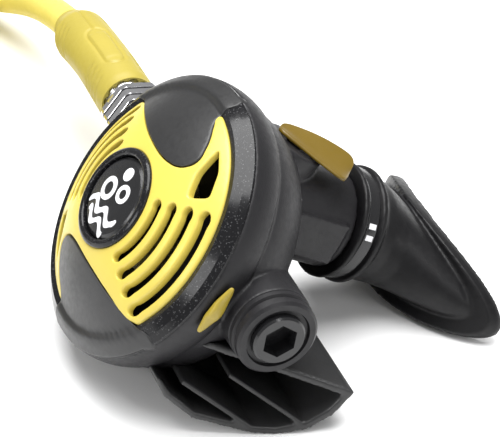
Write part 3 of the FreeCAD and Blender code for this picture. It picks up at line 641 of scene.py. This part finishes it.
print("grid lines each way:", 2 * int(GRID_REACH / GRID_STEP) + 1)

# %% [markdown]
# The yellow outline runs along the panel's edge, in along each grey inlay and out again to a horn. Its
# holes are the hub for the button, the two windows, and four slots to each side.

# %% The yellow cover
def slot_loop(radius, side):
    """A slot with round ends, to the plug side (0 degrees) or the hose side (180 degrees)."""
    half = SLOT_WIDTH / 2
    outer = arc(radius + half, side - SLOT_REACH, side + SLOT_REACH)
    inner = arc(radius - half, side + SLOT_REACH, side - SLOT_REACH)
    tip = SLOT_REACH + math.degrees(half / radius)
    return outer + [polar(radius, side + tip)] + inner + [polar(radius, side - tip)]


EDGE_TURN, HUB_RADIUS = 149.2, 13.2
COVER_THICK, COVER_BEVEL, COVER_LIFT = 2.2, 0.45, 0.25
cover_outline = (
    arc(EDGE_RADIUS, 84.0, EDGE_TURN - 180) + half_turned(SHIELD_EDGE) + half_turned([HORN])
    + arc(EDGE_RADIUS, 264.0, EDGE_TURN) + SHIELD_EDGE + [HORN]
)
window_loop = softened(WINDOW, 1.3, 4)
cover_holes = [arc(HUB_RADIUS, 0, 354), window_loop, half_turned(window_loop)]
cover_holes += [slot_loop(radius, side) for radius in SLOT_RADII for side in (0, 180)]
cover_loops = [cover_outline] + cover_holes
cover_mesh = pressed_plate("cover", cover_loops, COVER_THICK, COVER_BEVEL, COVER_LIFT)
piece("cover", cover_mesh, "case", cover_yellow, ["cover_grille"])

# %% [markdown]
# Two smooth grey inlays fill the corners that the yellow leaves free. Each runs on past the panel and
# over the shiny ring to the rim, so its outline is the yellow one's edge on the inside and a plain arc
# of the rim on the outside. A hair's gap between the two mouldings shows as a fine dark line.

# %% The grey inlays
RIM_RADIUS = 37.8
GAP = 0.35
INLAY_THICK, INLAY_BEVEL, INLAY_LIFT = 1.6, 0.35, 0.30
shield_inside = [(across, up + GAP) for across, up in SHIELD_EDGE[:7]]
shield_inside += [(across - GAP, up + 0.1) for across, up in SHIELD_EDGE[7:]]
shield_outline = arc(RIM_RADIUS, 86.0, 153.5) + [(-27.0, 17.3)] + shield_inside
shield_outline += [(3.4, 31.2), (2.9, 33.2)]
for inlay_name, outline, node_name in (
    ("top_inlay", shield_outline, "top_shield"),
    ("lower_inlay", half_turned(shield_outline), "lower_inset"),
):
    inlay = pressed_plate(inlay_name, [outline], INLAY_THICK, INLAY_BEVEL, INLAY_LIFT)
    piece(inlay_name, inlay, "case", inlay_grey, [node_name])

# %% [markdown]
# In the middle sits the purge button in its bezel. Both are turned parts, so one helper spins a
# profile round the cover's axis. The button carries a white print: a plain sign of three rising
# bubbles over two waves, slightly raised like thick ink.

# %% Purge button
def spun(name, profile, steps=96):
    """A turned piece: a profile of (radius, depth) points spun round the cover's axis."""
    rings = [
        [(radius * math.cos(turn), depth, radius * math.sin(turn)) for radius, depth in profile]
        for turn in turns(steps)
    ]
    return skin(name, rings, closed=True)


BEZEL = [
    (11.2, -5.2), (11.2, -12.3), (11.6, -12.75), (12.5, -12.75), (13.35, -12.2), (13.4, -4.0),
    (3.5, -4.0), (3.5, -5.2),
]
bezel_mesh = spun("purge_bezel_ring", softened(BEZEL))
piece("purge_bezel_ring", bezel_mesh, "case", ring_lacquer, ["purge_bezel"])

# %% [markdown]
# The print is a flat plate like the cover, only as thin as ink, and each point of it moves onto the
# crowned face of the button.

# %% Print on the button
INK = 0.12


def circle(across, up, radius, steps=20):
    """A round loop on the button."""
    return [(across + radius * math.cos(turn), up + radius * math.sin(turn)) for turn in turns(steps)]


def wave(low, thickness, reach, height=1.1, ripple=0.98, steps=18):
    """A wavy band across the button."""
    spread = [-reach + 2 * reach * index / steps for index in range(steps + 1)]
    top = [(x, low + thickness / 2 + height * math.sin(x * ripple)) for x in spread]
    bottom = [(x, low - thickness / 2 + height * math.sin(x * ripple)) for x in reversed(spread)]
    return top + bottom


def button_front(radius):
    """The slightly crowned face of the purge button."""
    return -12.98 + 0.0075 * radius ** 2


sign_loops = [
    circle(-3.0, 0.6, 3.2), circle(-3.0, 0.6, 1.8), circle(3.3, 2.9, 2.5), circle(3.3, 2.9, 1.3),
    circle(-0.1, 7.0, 1.8), wave(-4.4, 1.9, 7.4), wave(-7.6, 1.7, 5.2),
]
mark_mesh = flat_plate("purge_mark", sign_loops, INK)
for vert in mark_mesh.vertices:
    across, up, depth = vert.co
    vert.co = (across, button_front(math.hypot(across, up)) - depth, up)
piece("purge_mark", mark_mesh, "purge", print_white, ["purge_emblem"])

# %% [markdown]
# ## The case
#
# The case is one black moulding: a bowl, two side bosses, the mouthpiece tube and the seat of the
# lever. The ready-made solid has hard corners where these meet, but real moulds have soft ones. Small
# voxels and a little smoothing melt the corners together. Raised pads join the shape before that, so
# that they grow out of the tube as the real ones do.

# %% Case skin
PAD = [(-5.6, 15.5), (6.2, 15.5), (6.2, 31.0), (-5.6, 31.0)]
PAD_LOW, PAD_HIGH = 10.6, 14.35
CASE_ROUNDS, MOUTH_ROUNDS, SCOOP_ROUNDS = 3, 6, 7


def slab(corners, low, high, place):
    """A prism between two heights over an outline, with any placement."""
    rings = [[place @ Vector((a, b, height)) for a, b in corners] for height in (low, high)]
    return skin("slab", rings)


def joined(name, meshes):
    """Several meshes as one."""
    build = bmesh.new()
    for mesh in meshes:
        build.from_mesh(mesh)
    bmesh.ops.remove_doubles(build, verts=build.verts, dist=CUT_SNAP)
    whole = bpy.data.meshes.new(name)
    build.to_mesh(whole)
    build.free()
    return whole


def upright_copy(node_name):
    """A copy of a solid's mesh, back in the drawing's place and millimetres."""
    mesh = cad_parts[node_name].data.copy()
    mesh.transform(TO_TABLE.inverted())
    return mesh


pads = [
    slab(PAD, PAD_LOW, PAD_HIGH, TUBE @ Matrix.Rotation(math.radians(angle), 4, "Y"))
    for angle in (-90, 90)
]
case_mesh = melted(joined("case_skin", [upright_copy("case_shell")] + pads), CASE_ROUNDS)
piece("case_skin", case_mesh, "case", case_black, ["case_shell"], sharp=60)

# %% [markdown]
# ## The mouthpiece
#
# The mouthpiece is one piece of black silicone: a collar with two ribs, a neck that flattens and
# widens, a lip shield bowed round the teeth, and two bite tabs. Each part is simple on its own, so
# they are made as separate closed skins that run into each other, and then melted into one.

# %% Mouthpiece parts
def oval_ring(along, half_wide, half_high, drop=0.0, bow=0.0, steps=64):
    """A closed oval ring across the tube. A bow bends its ends to the mouth."""
    ring = []
    for turn in turns(steps):
        across = half_wide * math.cos(turn)
        up = half_high * math.sin(turn) - drop
        ring.append(TUBE @ Vector((across, along + bow * across * across, up)))
    return ring


COLLAR = [
    (34.0, 15.2), (34.2, 15.9), (35.6, 15.9), (35.9, 15.0), (36.0, 14.3), (39.8, 14.3), (39.9, 15.0),
    (40.2, 15.9), (41.7, 15.9), (42.1, 14.8), (43.0, 14.3),
]
NECK = [
    # along, half width, half height, drop, bow
    (43.0, 14.3, 13.9, 0.0, 0.0), (46.0, 14.8, 13.5, 0.1, 0.0), (49.0, 16.6, 12.5, 0.3, 0.0015),
    (52.0, 20.0, 11.5, 0.6, 0.004), (55.0, 24.0, 10.6, 1.0, 0.0065), (58.0, 27.8, 9.8, 1.4, 0.0085),
    (61.0, 30.0, 8.9, 1.8, 0.0105),
]
THROAT = [
    # along, half width, half height
    (33.0, 12.0, 11.95), (43.9, 12.0, 11.95), (44.0, 10.4, 10.0), (49.0, 10.8, 8.6), (54.0, 11.6, 7.0),
    (60.0, 12.6, 5.8), (72.0, 13.4, 5.4),
]
SHIELD_HALF, SHIELD_HIGH, SHIELD_MIDDLE, SHIELD_BOW = 34.0, 12.8, 56.6, 0.0135
SHIELD_DROP, SHIELD_THICK, SHIELD_SHIFT = 2.0, 1.6, 1.7
SHIELD_SHARES = [0.0, 0.35, 0.6, 0.8, 0.92, 0.985, 1.0]
TAB_ASIDE, TAB_UP, TAB_SQUARE = 18, 1.7, 0.6
BITE_ROWS = [
    # along, half width, half height
    (62.0, 5.2, 2.1), (66.0, 5.4, 1.9), (68.0, 5.4, 1.9), (70.0, 5.4, 2.3), (71.4, 5.2, 2.2),
    (72.0, 4.4, 1.5),
]


def lip_shield():
    """A bowed leaf with a rolled rim: rings that shrink to the middle on both faces."""
    rings = []
    faces = [(share, -1) for share in SHIELD_SHARES]
    faces += [(share, 1) for share in reversed(SHIELD_SHARES[:-1])]
    for share, face in faces:
        rim = 1.0 + 0.55 * max(0.0, (share - 0.75) / 0.25) if share < 0.99 else 0.0
        ring = []
        for turn in turns(72):
            across = SHIELD_HALF * max(share, 0.02) * math.cos(turn)
            up = SHIELD_HIGH * max(share, 0.02) * math.sin(turn)
            along = SHIELD_MIDDLE + SHIELD_SHIFT + SHIELD_BOW * across * across
            along += face * SHIELD_THICK * rim
            ring.append(TUBE @ Vector((across, along, up - SHIELD_DROP)))
        rings.append(ring)
    return skin("lip_shield", rings)


def squared(value):
    """A sine or cosine pushed outwards, which squares a ring."""
    return math.copysign(abs(value) ** TAB_SQUARE, value)


def bite_tab(side):
    """A flat tongue behind the lip shield with a raised end that the teeth hold."""
    rings = []
    for along, half_wide, half_high in BITE_ROWS:
        ring = []
        for turn in turns(32):
            across = side * TAB_ASIDE + half_wide * squared(math.cos(turn))
            ring.append(TUBE @ Vector((across, along, TAB_UP + half_high * squared(math.sin(turn)))))
        rings.append(ring)
    return skin("bite_tab", rings)


collar = skin("collar", [oval_ring(along, radius, radius - 0.2) for along, radius in COLLAR])
neck = skin("neck", [oval_ring(*row) for row in NECK])
mouth_parts = [collar, neck, lip_shield(), bite_tab(-1), bite_tab(1)]
mouth_solid = melted(joined("mouth_solid", mouth_parts), MOUTH_ROUNDS)
throat = skin("throat", [oval_ring(*row) for row in THROAT])
print("mouthpiece skin:", len(mouth_solid.polygons), "faces")

# %% [markdown]
# The air way is one long tapered shape. Taking it out of the melted piece leaves the hollow inside.

# %% Open the throat
def carved(mesh, tool_mesh):
    """The mesh with the tool's shape taken out of it."""
    target, tool = linked("target", mesh), linked("tool", tool_mesh)
    cut = target.modifiers.new("cut", "BOOLEAN")
    cut.object = tool
    cut.operation = "DIFFERENCE"
    cut.solver = "EXACT"
    result = worked_out(target)
    bpy.data.objects.remove(tool)
    return result


mouth_mesh = carved(mouth_solid, throat)
piece(
    "mouthpiece_silicone", mouth_mesh, "case", mouth_silicone, ["mouthpiece"],
    sharp=50,
)

# %% [markdown]
# A cable tie holds the collar on its tube. Its strap is a thin band with soft edges between the two
# ribs, and two short pale marks lie side by side on it. Its head sits underneath.

# %% Tie
def tube_spun(name, profile, steps=96, start=0.0, sweep=FULL_TURN):
    """A profile of (radius, along) points spun round the tube, wholly or over a part of a turn."""
    rings = []
    whole = sweep == FULL_TURN
    for index in range(steps if whole else steps + 1):
        turn = start + sweep * index / steps
        rings.append([
            TUBE @ Vector((radius * math.cos(turn), along, radius * math.sin(turn)))
            for radius, along in profile
        ])
    return skin(name, rings, closed=whole)


STRAP = softened([(14.1, 36.2), (14.95, 36.2), (14.95, 39.6), (14.1, 39.6)], 0.25)
piece("tie_strap", tube_spun("tie_strap", STRAP), "case", tie_black, ["mouthpiece_tie"])
MARK = softened([(14.8, 36.8), (15.02, 36.8), (15.02, 39.0), (14.8, 39.0)], 0.08)
MARK_TURNS, MARK_SWEEP = (13.0, 25.0), 5.6
for index, mark_turn in enumerate(MARK_TURNS):
    mark = tube_spun(f"tie_mark_{index}", MARK, 8, math.radians(mark_turn), math.radians(MARK_SWEEP))
    piece(f"tie_mark_{index}", mark, "case", print_white)

# %% [markdown]
# ## The exhaust scoop
#
# The scoop is a wide soft-rubber duct below the case. Its solid has the right planes but hard corners,
# so it is melted like the case, with a little more smoothing, because soft rubber has rounder edges.

# %% Scoop
scoop_mesh = melted(upright_copy("exhaust_scoop"), SCOOP_ROUNDS)
piece("scoop_skin", scoop_mesh, "case", scoop_rubber, ["exhaust_scoop"], sharp=60)

# %% [markdown]
# ## Thumb lever and lock tab
#
# Two small yellow mouldings are worked by the thumb. The lever has a hollow thumb rest that slopes
# to one side, and the tab has a low ridge across its middle. The lever turns and the tab slides, so
# each rides on its own body.

# %% Thumb lever
LEVER_SEAT = 34.62
LEVER_TURN = math.radians(-31.4)
LEVER_PLACE = TO_TABLE @ Matrix.Translation((0, 21.9, 0)) @ Matrix.Rotation(LEVER_TURN, 4, "Z")
LEVER_ROWS = [
    # along, half width, height at the far side, height at the near side
    (-5.6, 0.9, 1.6, 1.2), (-5.0, 2.4, 2.0, 1.3), (-3.6, 3.2, 2.5, 1.4), (-1.0, 3.7, 3.2, 1.4),
    (3.0, 4.2, 4.2, 1.3), (7.0, 4.7, 4.8, 1.2), (11.0, 5.1, 5.1, 1.2), (13.6, 5.3, 5.1, 1.3),
    (15.0, 4.7, 4.6, 1.3), (15.7, 3.2, 3.8, 1.4),
]


def lever_ring(along, half, far_high, near_high):
    """One cross section of the lever: flat below, rounded sides, and a hollow sloping top."""
    low = LEVER_SEAT
    ring = [
        (-half + 0.5, low), (-half, low + 0.5), (-half, low + far_high - 0.7),
        (-half + 0.25, low + far_high - 0.15), (-half + 0.75, low + far_high),
    ]
    for step in range(1, 8):
        t = step / 8
        across = -half + 0.75 + (2 * half - 1.5) * t
        sag = 0.55 * math.sin(math.pi * t) * min(1.0, far_high / 4)
        ring.append((across, low + far_high + (near_high - far_high) * t - sag))
    ring += [
        (half - 0.75, low + near_high), (half - 0.25, low + near_high - 0.12),
        (half, low + near_high - 0.45), (half, low + 0.4), (half - 0.4, low),
    ]
    return [(across, along, up) for across, up in ring]


lever_mesh = subdivided(skin("thumb_lever", [lever_ring(*row) for row in LEVER_ROWS]))
piece(
    "thumb_lever", lever_mesh, "venturi", lever_yellow, ["venturi_lever"],
    place=LEVER_PLACE, sharp=60,
)

# %% [markdown]
# The tab is built the same way, from rows that widen to its middle and stand out a little further there.

# %% Lock tab
TAB_MIDDLE_Y, TAB_FACE_X = 3.75, 38.75
TAB_ROWS = [
    # height, half width, how far the face stands out
    (-7.0, 0.45, 0.7), (-6.3, 0.85, 1.0), (-4.0, 1.35, 1.2), (-2.3, 1.8, 1.35), (-1.5, 1.8, 1.95),
    (0.8, 1.8, 1.95), (1.8, 1.8, 1.35), (4.0, 1.35, 1.2), (6.3, 0.85, 1.0), (7.0, 0.45, 0.7),
]


def tab_ring(height, half, out):
    """One cross section of the tab, rounded towards its edges."""
    ring = [
        (0.0, -half + 0.1), (0.4, -half), (out - 0.35, -half + 0.1), (out, -half + 0.55),
        (out, half - 0.55), (out - 0.35, half - 0.1), (0.4, half), (0.0, half - 0.1),
    ]
    return [(TAB_FACE_X + x, TAB_MIDDLE_Y + y, height) for x, y in ring]


tab_mesh = subdivided(skin("lock_tab_grip", [tab_ring(*row) for row in TAB_ROWS]))
piece("lock_tab_grip", tab_mesh, "lock", tab_yellow, ["lock_tab"], sharp=60)

# %% [markdown]
# ## The hose sleeve and the nut
#
# A soft sleeve slides over the end of the hose and grips the ferrule. It follows the hose's own middle
# line, so its rings are set square to that line. Grip grooves, a blank badge and the twelve notches of
# its mouth are all changes of the radius, as a mould would cut them.

# %% Rings along the hose
SLEEVE_MOUTH = TO_TABLE @ Vector((-65.7, VALVE_Y, VALVE_Z))
SLEEVE_TAIL = 0.038
SLEEVE_RADIUS, SLEEVE_BORE, SLEEVE_TIP = 7.75, 6.95, 4.85
GRIP_GROOVES, GRIP_SPACING, GRIP_SLANT, GRIP_DEPTH = 4, 2.6, 1.6, 0.55
BADGE_MIDDLE, BADGE_HALF_LONG, BADGE_HALF_WIDE, BADGE_LINE = 19.0, 7.0, 3.2, 0.42
SEAM_START = 29.5


def point_along(line, distance):
    """The point and the direction at a distance along a row of points."""
    for a, b in zip(line, line[1:]):
        span_length = (b - a).length
        if distance <= span_length:
            return a + (b - a) * (distance / span_length), (b - a).normalized()
        distance -= span_length
    return line[-1], (line[-1] - line[-2]).normalized()


sleeve_line = [SLEEVE_MOUTH] + hose_line
SLEEVE_LENGTH = (EXIT - SLEEVE_MOUTH).length + SLEEVE_TAIL


def smooth_step(low, high, value):
    """0 before low, 1 after high, and a smooth rise between them."""
    t = min(1.0, max(0.0, (value - low) / (high - low)))
    return t * t * (3 - 2 * t)


def groove(value, middle, width):
    """A soft bump of height 1 at the middle of a groove."""
    return math.exp(-((value - middle) / width) ** 2)


def sleeve_radius(along, turn):
    """Outer radius of the sleeve in millimetres, at a distance from its mouth and an angle round it."""
    length = SLEEVE_LENGTH * 1000
    body = SLEEVE_RADIUS + 0.45 * smooth_step(0.0, 3.0, along) - 0.25 * groove(along, 26, 12)
    body -= 2.5 * smooth_step(length - 9.0, length, along)
    flank = smooth_step(0.55, 0.85, abs(math.cos(turn)))
    for first in (5.0, length - 15.5):
        for index in range(GRIP_GROOVES):
            spot = first + GRIP_SPACING * index + GRIP_SLANT * math.sin(turn)
            body -= GRIP_DEPTH * groove(along, spot, 0.55) * flank
    across = body * (turn - math.pi / 2)
    if abs(across) < 8:
        lengthwise = abs(along - BADGE_MIDDLE)
        outline = math.hypot(across, max(0.0, lengthwise - BADGE_HALF_LONG))
        body -= 0.45 * groove(outline, BADGE_HALF_WIDE, BADGE_LINE)
        body += 0.18 * smooth_step(2.9, 2.3, outline) * smooth_step(7.5, 6.5, lengthwise)
        if along > SEAM_START:
            fade = smooth_step(length - 2.0, length - 6.0, along)
            body -= 0.40 * groove(across, 0.0, BADGE_LINE) * fade
    return body


print(f"sleeve {SLEEVE_LENGTH * 1000:.1f} mm long")

# %% [markdown]
# The outside and the lining are rings of the same kind. The outside asks the function above for its
# radius, and the lining has a plain bore with twelve notches in its mouth.

# %% Sleeve
SLEEVE_RINGS, SLEEVE_STEPS = 150, 120
NOTCH_RADIUS, NOTCH_DEPTH = 6.6, 0.8


def ring_across(distance, radius_at):
    """A ring square to the sleeve's line. Its radius in millimetres depends on the angle."""
    middle, way = point_along(sleeve_line, distance)
    aside = way.cross(Vector((0, 0, 1))).normalized()
    up = aside.cross(way)
    return [
        middle + (aside * math.cos(turn) + up * math.sin(turn)) * (radius_at(turn) / 1000)
        for turn in turns(SLEEVE_STEPS)
    ]


def lining_ring(distance, radius, notch=0.0):
    """A ring inside the sleeve, with twelve notches if they have a depth."""
    return ring_across(distance, lambda turn: radius + notch * abs(math.sin(6 * turn)))


sleeve_rings = []
for index in range(SLEEVE_RINGS + 1):
    along = SLEEVE_LENGTH * index / SLEEVE_RINGS
    sleeve_rings.append(ring_across(along, lambda turn: sleeve_radius(along * 1000, turn)))
sleeve_rings += [
    lining_ring(SLEEVE_LENGTH, SLEEVE_TIP), lining_ring(0.0135, SLEEVE_TIP),
    lining_ring(0.013, SLEEVE_BORE), lining_ring(0.004, SLEEVE_BORE),
    lining_ring(0.0038, NOTCH_RADIUS, NOTCH_DEPTH), lining_ring(0.0, NOTCH_RADIUS, NOTCH_DEPTH),
]
sleeve_mesh = skin("sleeve", sleeve_rings, closed=True)
sleeve = piece(
    "sleeve", sleeve_mesh, "case", sleeve_yellow, ["hose_sleeve"], place=None, sharp=50,
)

# %% [markdown]
# The swivel nut is a chromed hexagon with three fine grooves turned right round it. Across a hexagon a
# turned groove reads as a zigzag line, and a black ring of painted shade lies in each to darken it.

# %% Swivel nut
NUT_FLATS, NUT_START, NUT_FINISH, NUT_TRIM = 17.5, -47.0, -62.0, 9.75
GROOVES = (-52.2, -55.4, -58.6)
GROOVE_HALF, GROOVE_DEEP = 0.38, 0.93
# Half width and inner and outer scale of the black rings of painted shade in the grooves.
SHADE_HALF, SHADE_INNER, SHADE_OUTER = 0.33, 0.90, 0.955


def nut_ring(x, radius_at, steps=96):
    """A ring across the valve's axis whose radius depends on the angle."""
    return [
        (x, VALVE_Y + radius_at(turn) * math.cos(turn), VALVE_Z + radius_at(turn) * math.sin(turn))
        for turn in turns(steps)
    ]


def hex_ring(x, scale=1.0, trim=NUT_TRIM):
    """A hexagon with its corners turned down to a radius."""
    def radius_at(turn):
        flat = (turn + math.pi / 6) % (math.pi / 3) - math.pi / 6
        return min(NUT_FLATS / 2 / math.cos(flat), trim) * scale
    return nut_ring(x, radius_at)


def round_ring(x, radius):
    """A plain round ring."""
    return nut_ring(x, lambda turn: radius)


nut_rings = [round_ring(NUT_START, 7.2), hex_ring(NUT_START, 0.97, 9.0), hex_ring(NUT_START - 0.8)]
for spot in GROOVES:
    nut_rings += [
        hex_ring(spot + GROOVE_HALF + 0.12), hex_ring(spot + GROOVE_HALF, 0.99),
        hex_ring(spot + GROOVE_HALF - 0.05, GROOVE_DEEP),
        hex_ring(spot - GROOVE_HALF + 0.05, GROOVE_DEEP),
        hex_ring(spot - GROOVE_HALF, 0.99), hex_ring(spot - GROOVE_HALF - 0.12),
    ]
nut_rings += [
    hex_ring(NUT_FINISH + 0.9, 1.0, 9.5), hex_ring(NUT_FINISH + 0.2, 0.96, 8.8),
    round_ring(NUT_FINISH, 8.2), round_ring(NUT_FINISH, 7.12),
]
nut_mesh = skin("nut", nut_rings, closed=True)
nut = piece("nut", nut_mesh, "case", bright_plating, ["swivel_nut"], sharp=30)
# A black ring of painted shade in each groove, in the tie's black finish.
for number, spot in enumerate(GROOVES):
    dark = skin("nut_groove_painted_shade", [
        hex_ring(spot + SHADE_HALF, SHADE_INNER), hex_ring(spot + SHADE_HALF, SHADE_OUTER),
        hex_ring(spot - SHADE_HALF, SHADE_OUTER), hex_ring(spot - SHADE_HALF, SHADE_INNER),
    ], closed=True)
    piece(f"nut_groove_painted_shade_{number}", dark, "case", tie_black)

# %% [markdown]
# ## Printed ticks and the coil's tie
#
# Four short white ticks beside the lever show where it points. They are thin printed shapes that
# follow the round top of the tube.

# %% Ticks
TUBE_HALF_WIDE, TUBE_HALF_HIGH = 14.2, 13.2
TAPER, TAPER_FROM, TAPER_LENGTH = 0.4, 6.0, 27.5
PRINT_OVER, PRINT_UNDER = 0.06, -0.3
TICKS = [
    # from angle, to angle, from along, to along
    (50, 62, 9.6, 10.5), (52, 60, 12.0, 12.6), (34, 37, 13.2, 15.4), (28, 31, 13.2, 15.4),
]


def tube_surface(across_turn, along, lift):
    """A point over or under the tube's skin, at an angle from its side and a distance along it."""
    shrink = TAPER * (along - TAPER_FROM) / TAPER_LENGTH
    across = (TUBE_HALF_WIDE - shrink + lift) * math.cos(across_turn)
    up = (TUBE_HALF_HIGH - shrink + lift) * math.sin(across_turn)
    return TUBE @ Vector((across, along, up))


def tick(name, turn_from, turn_to, along_from, along_to, steps=8):
    """A thin curved patch on the tube."""
    rings = []
    for index in range(steps + 1):
        turn = math.radians(turn_from + (turn_to - turn_from) * index / steps)
        rings.append([
            tube_surface(turn, along_from, PRINT_OVER), tube_surface(turn, along_to, PRINT_OVER),
            tube_surface(turn, along_to, PRINT_UNDER), tube_surface(turn, along_from, PRINT_UNDER),
        ])
    piece(name, skin(name, rings), "case", print_white)


for number, row in enumerate(TICKS):
    tick(f"tick_{number}", *row)

# %% [markdown]
# A strap holds the stacked turns together where the camera doesn't look. It is an upright loop whose
# underside is pressed flat by the table.

# %% Coil tie
TIE_TURN = math.radians(215)
TIE_HALF_WIDE, TIE_THICK, TIE_EDGE, TIE_ROOM = 0.005, 0.0008, 0.0002, 0.0002
TIE_OUTSIDE_LOW, TIE_INSIDE_LOW = 0.00002, 0.0001
outward = Vector((math.cos(TIE_TURN), math.sin(TIE_TURN), 0))
onward = Vector((-math.sin(TIE_TURN), math.cos(TIE_TURN), 0))
tie_middle = COIL_AT + outward * COIL_RADIUS
coil_top = FLOOR_LINE + (LAYERS - 1) * 2 * HOSE_RADIUS


def tie_loop(grow, shift, steps=16):
    """An upright rounded loop round the stacked turns of the coil."""
    radius = HOSE_RADIUS + TIE_ROOM + grow
    lowest = TIE_OUTSIDE_LOW if grow else TIE_INSIDE_LOW
    loop = []
    for first_turn, level in ((0, coil_top), (math.pi, FLOOR_LINE)):
        for index in range(steps + 1):
            turn = first_turn + math.pi * index / steps
            height = max(lowest, level + radius * math.sin(turn))
            loop.append(tie_middle + outward * radius * math.cos(turn) + Vector((0, 0, height)))
    return [point + onward * shift for point in loop]


tie_rings = [
    tie_loop(0, -TIE_HALF_WIDE), tie_loop(TIE_THICK, -TIE_HALF_WIDE + TIE_EDGE),
    tie_loop(TIE_THICK, TIE_HALF_WIDE - TIE_EDGE), tie_loop(0, TIE_HALF_WIDE),
]
coil_tie_mesh = skin("coil_tie", tie_rings, closed=True)
coil_tie = piece("coil_tie", coil_tie_mesh, "case", tie_black, place=None)

# %% [markdown]
# ## Springs
#
# The purge spring and the poppet spring sit between parts that come closer, so a rigid coil would
# pass through one of them. Each is swept here as an even coil and gets a mesh of its own.

# %% Springs
def coil_spring(radius, wire, windings, start, finish, point_at, around=10, steps=90):
    """Rings for a round wire wound between two places along an axis."""
    rings = []
    for index in range(steps + 1):
        share = index / steps
        turn = 2 * math.pi * windings * share
        ring = []
        for roll in turns(around):
            reach = radius + wire / 2 * math.cos(roll)
            along = start + (finish - start) * share + wire / 2 * math.sin(roll)
            ring.append(point_at(along, reach * math.cos(turn), reach * math.sin(turn)))
        rings.append(ring)
    return rings


def purge_point(along, a, b):
    """A point round the case's axis."""
    return (a, along, b)


def valve_point(along, a, b):
    """A point round the valve's axis."""
    return (along, VALVE_Y + a, VALVE_Z + b)


purge_wire = skin("purge_coil", coil_spring(4.9, 0.7, 2.8, -5.65, -9.85, purge_point))
purge_coil = piece("purge_coil", purge_wire, "case", spring_steel, ["purge_spring"], sharp=60)
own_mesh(purge_coil)
poppet_wire = skin("poppet_coil", coil_spring(3.3, 0.8, 4.0, -3.4, 3.8, valve_point))
poppet_coil = piece(
    "poppet_coil", poppet_wire, "case", spring_steel, ["poppet_spring"], sharp=60,
)
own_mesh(poppet_coil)
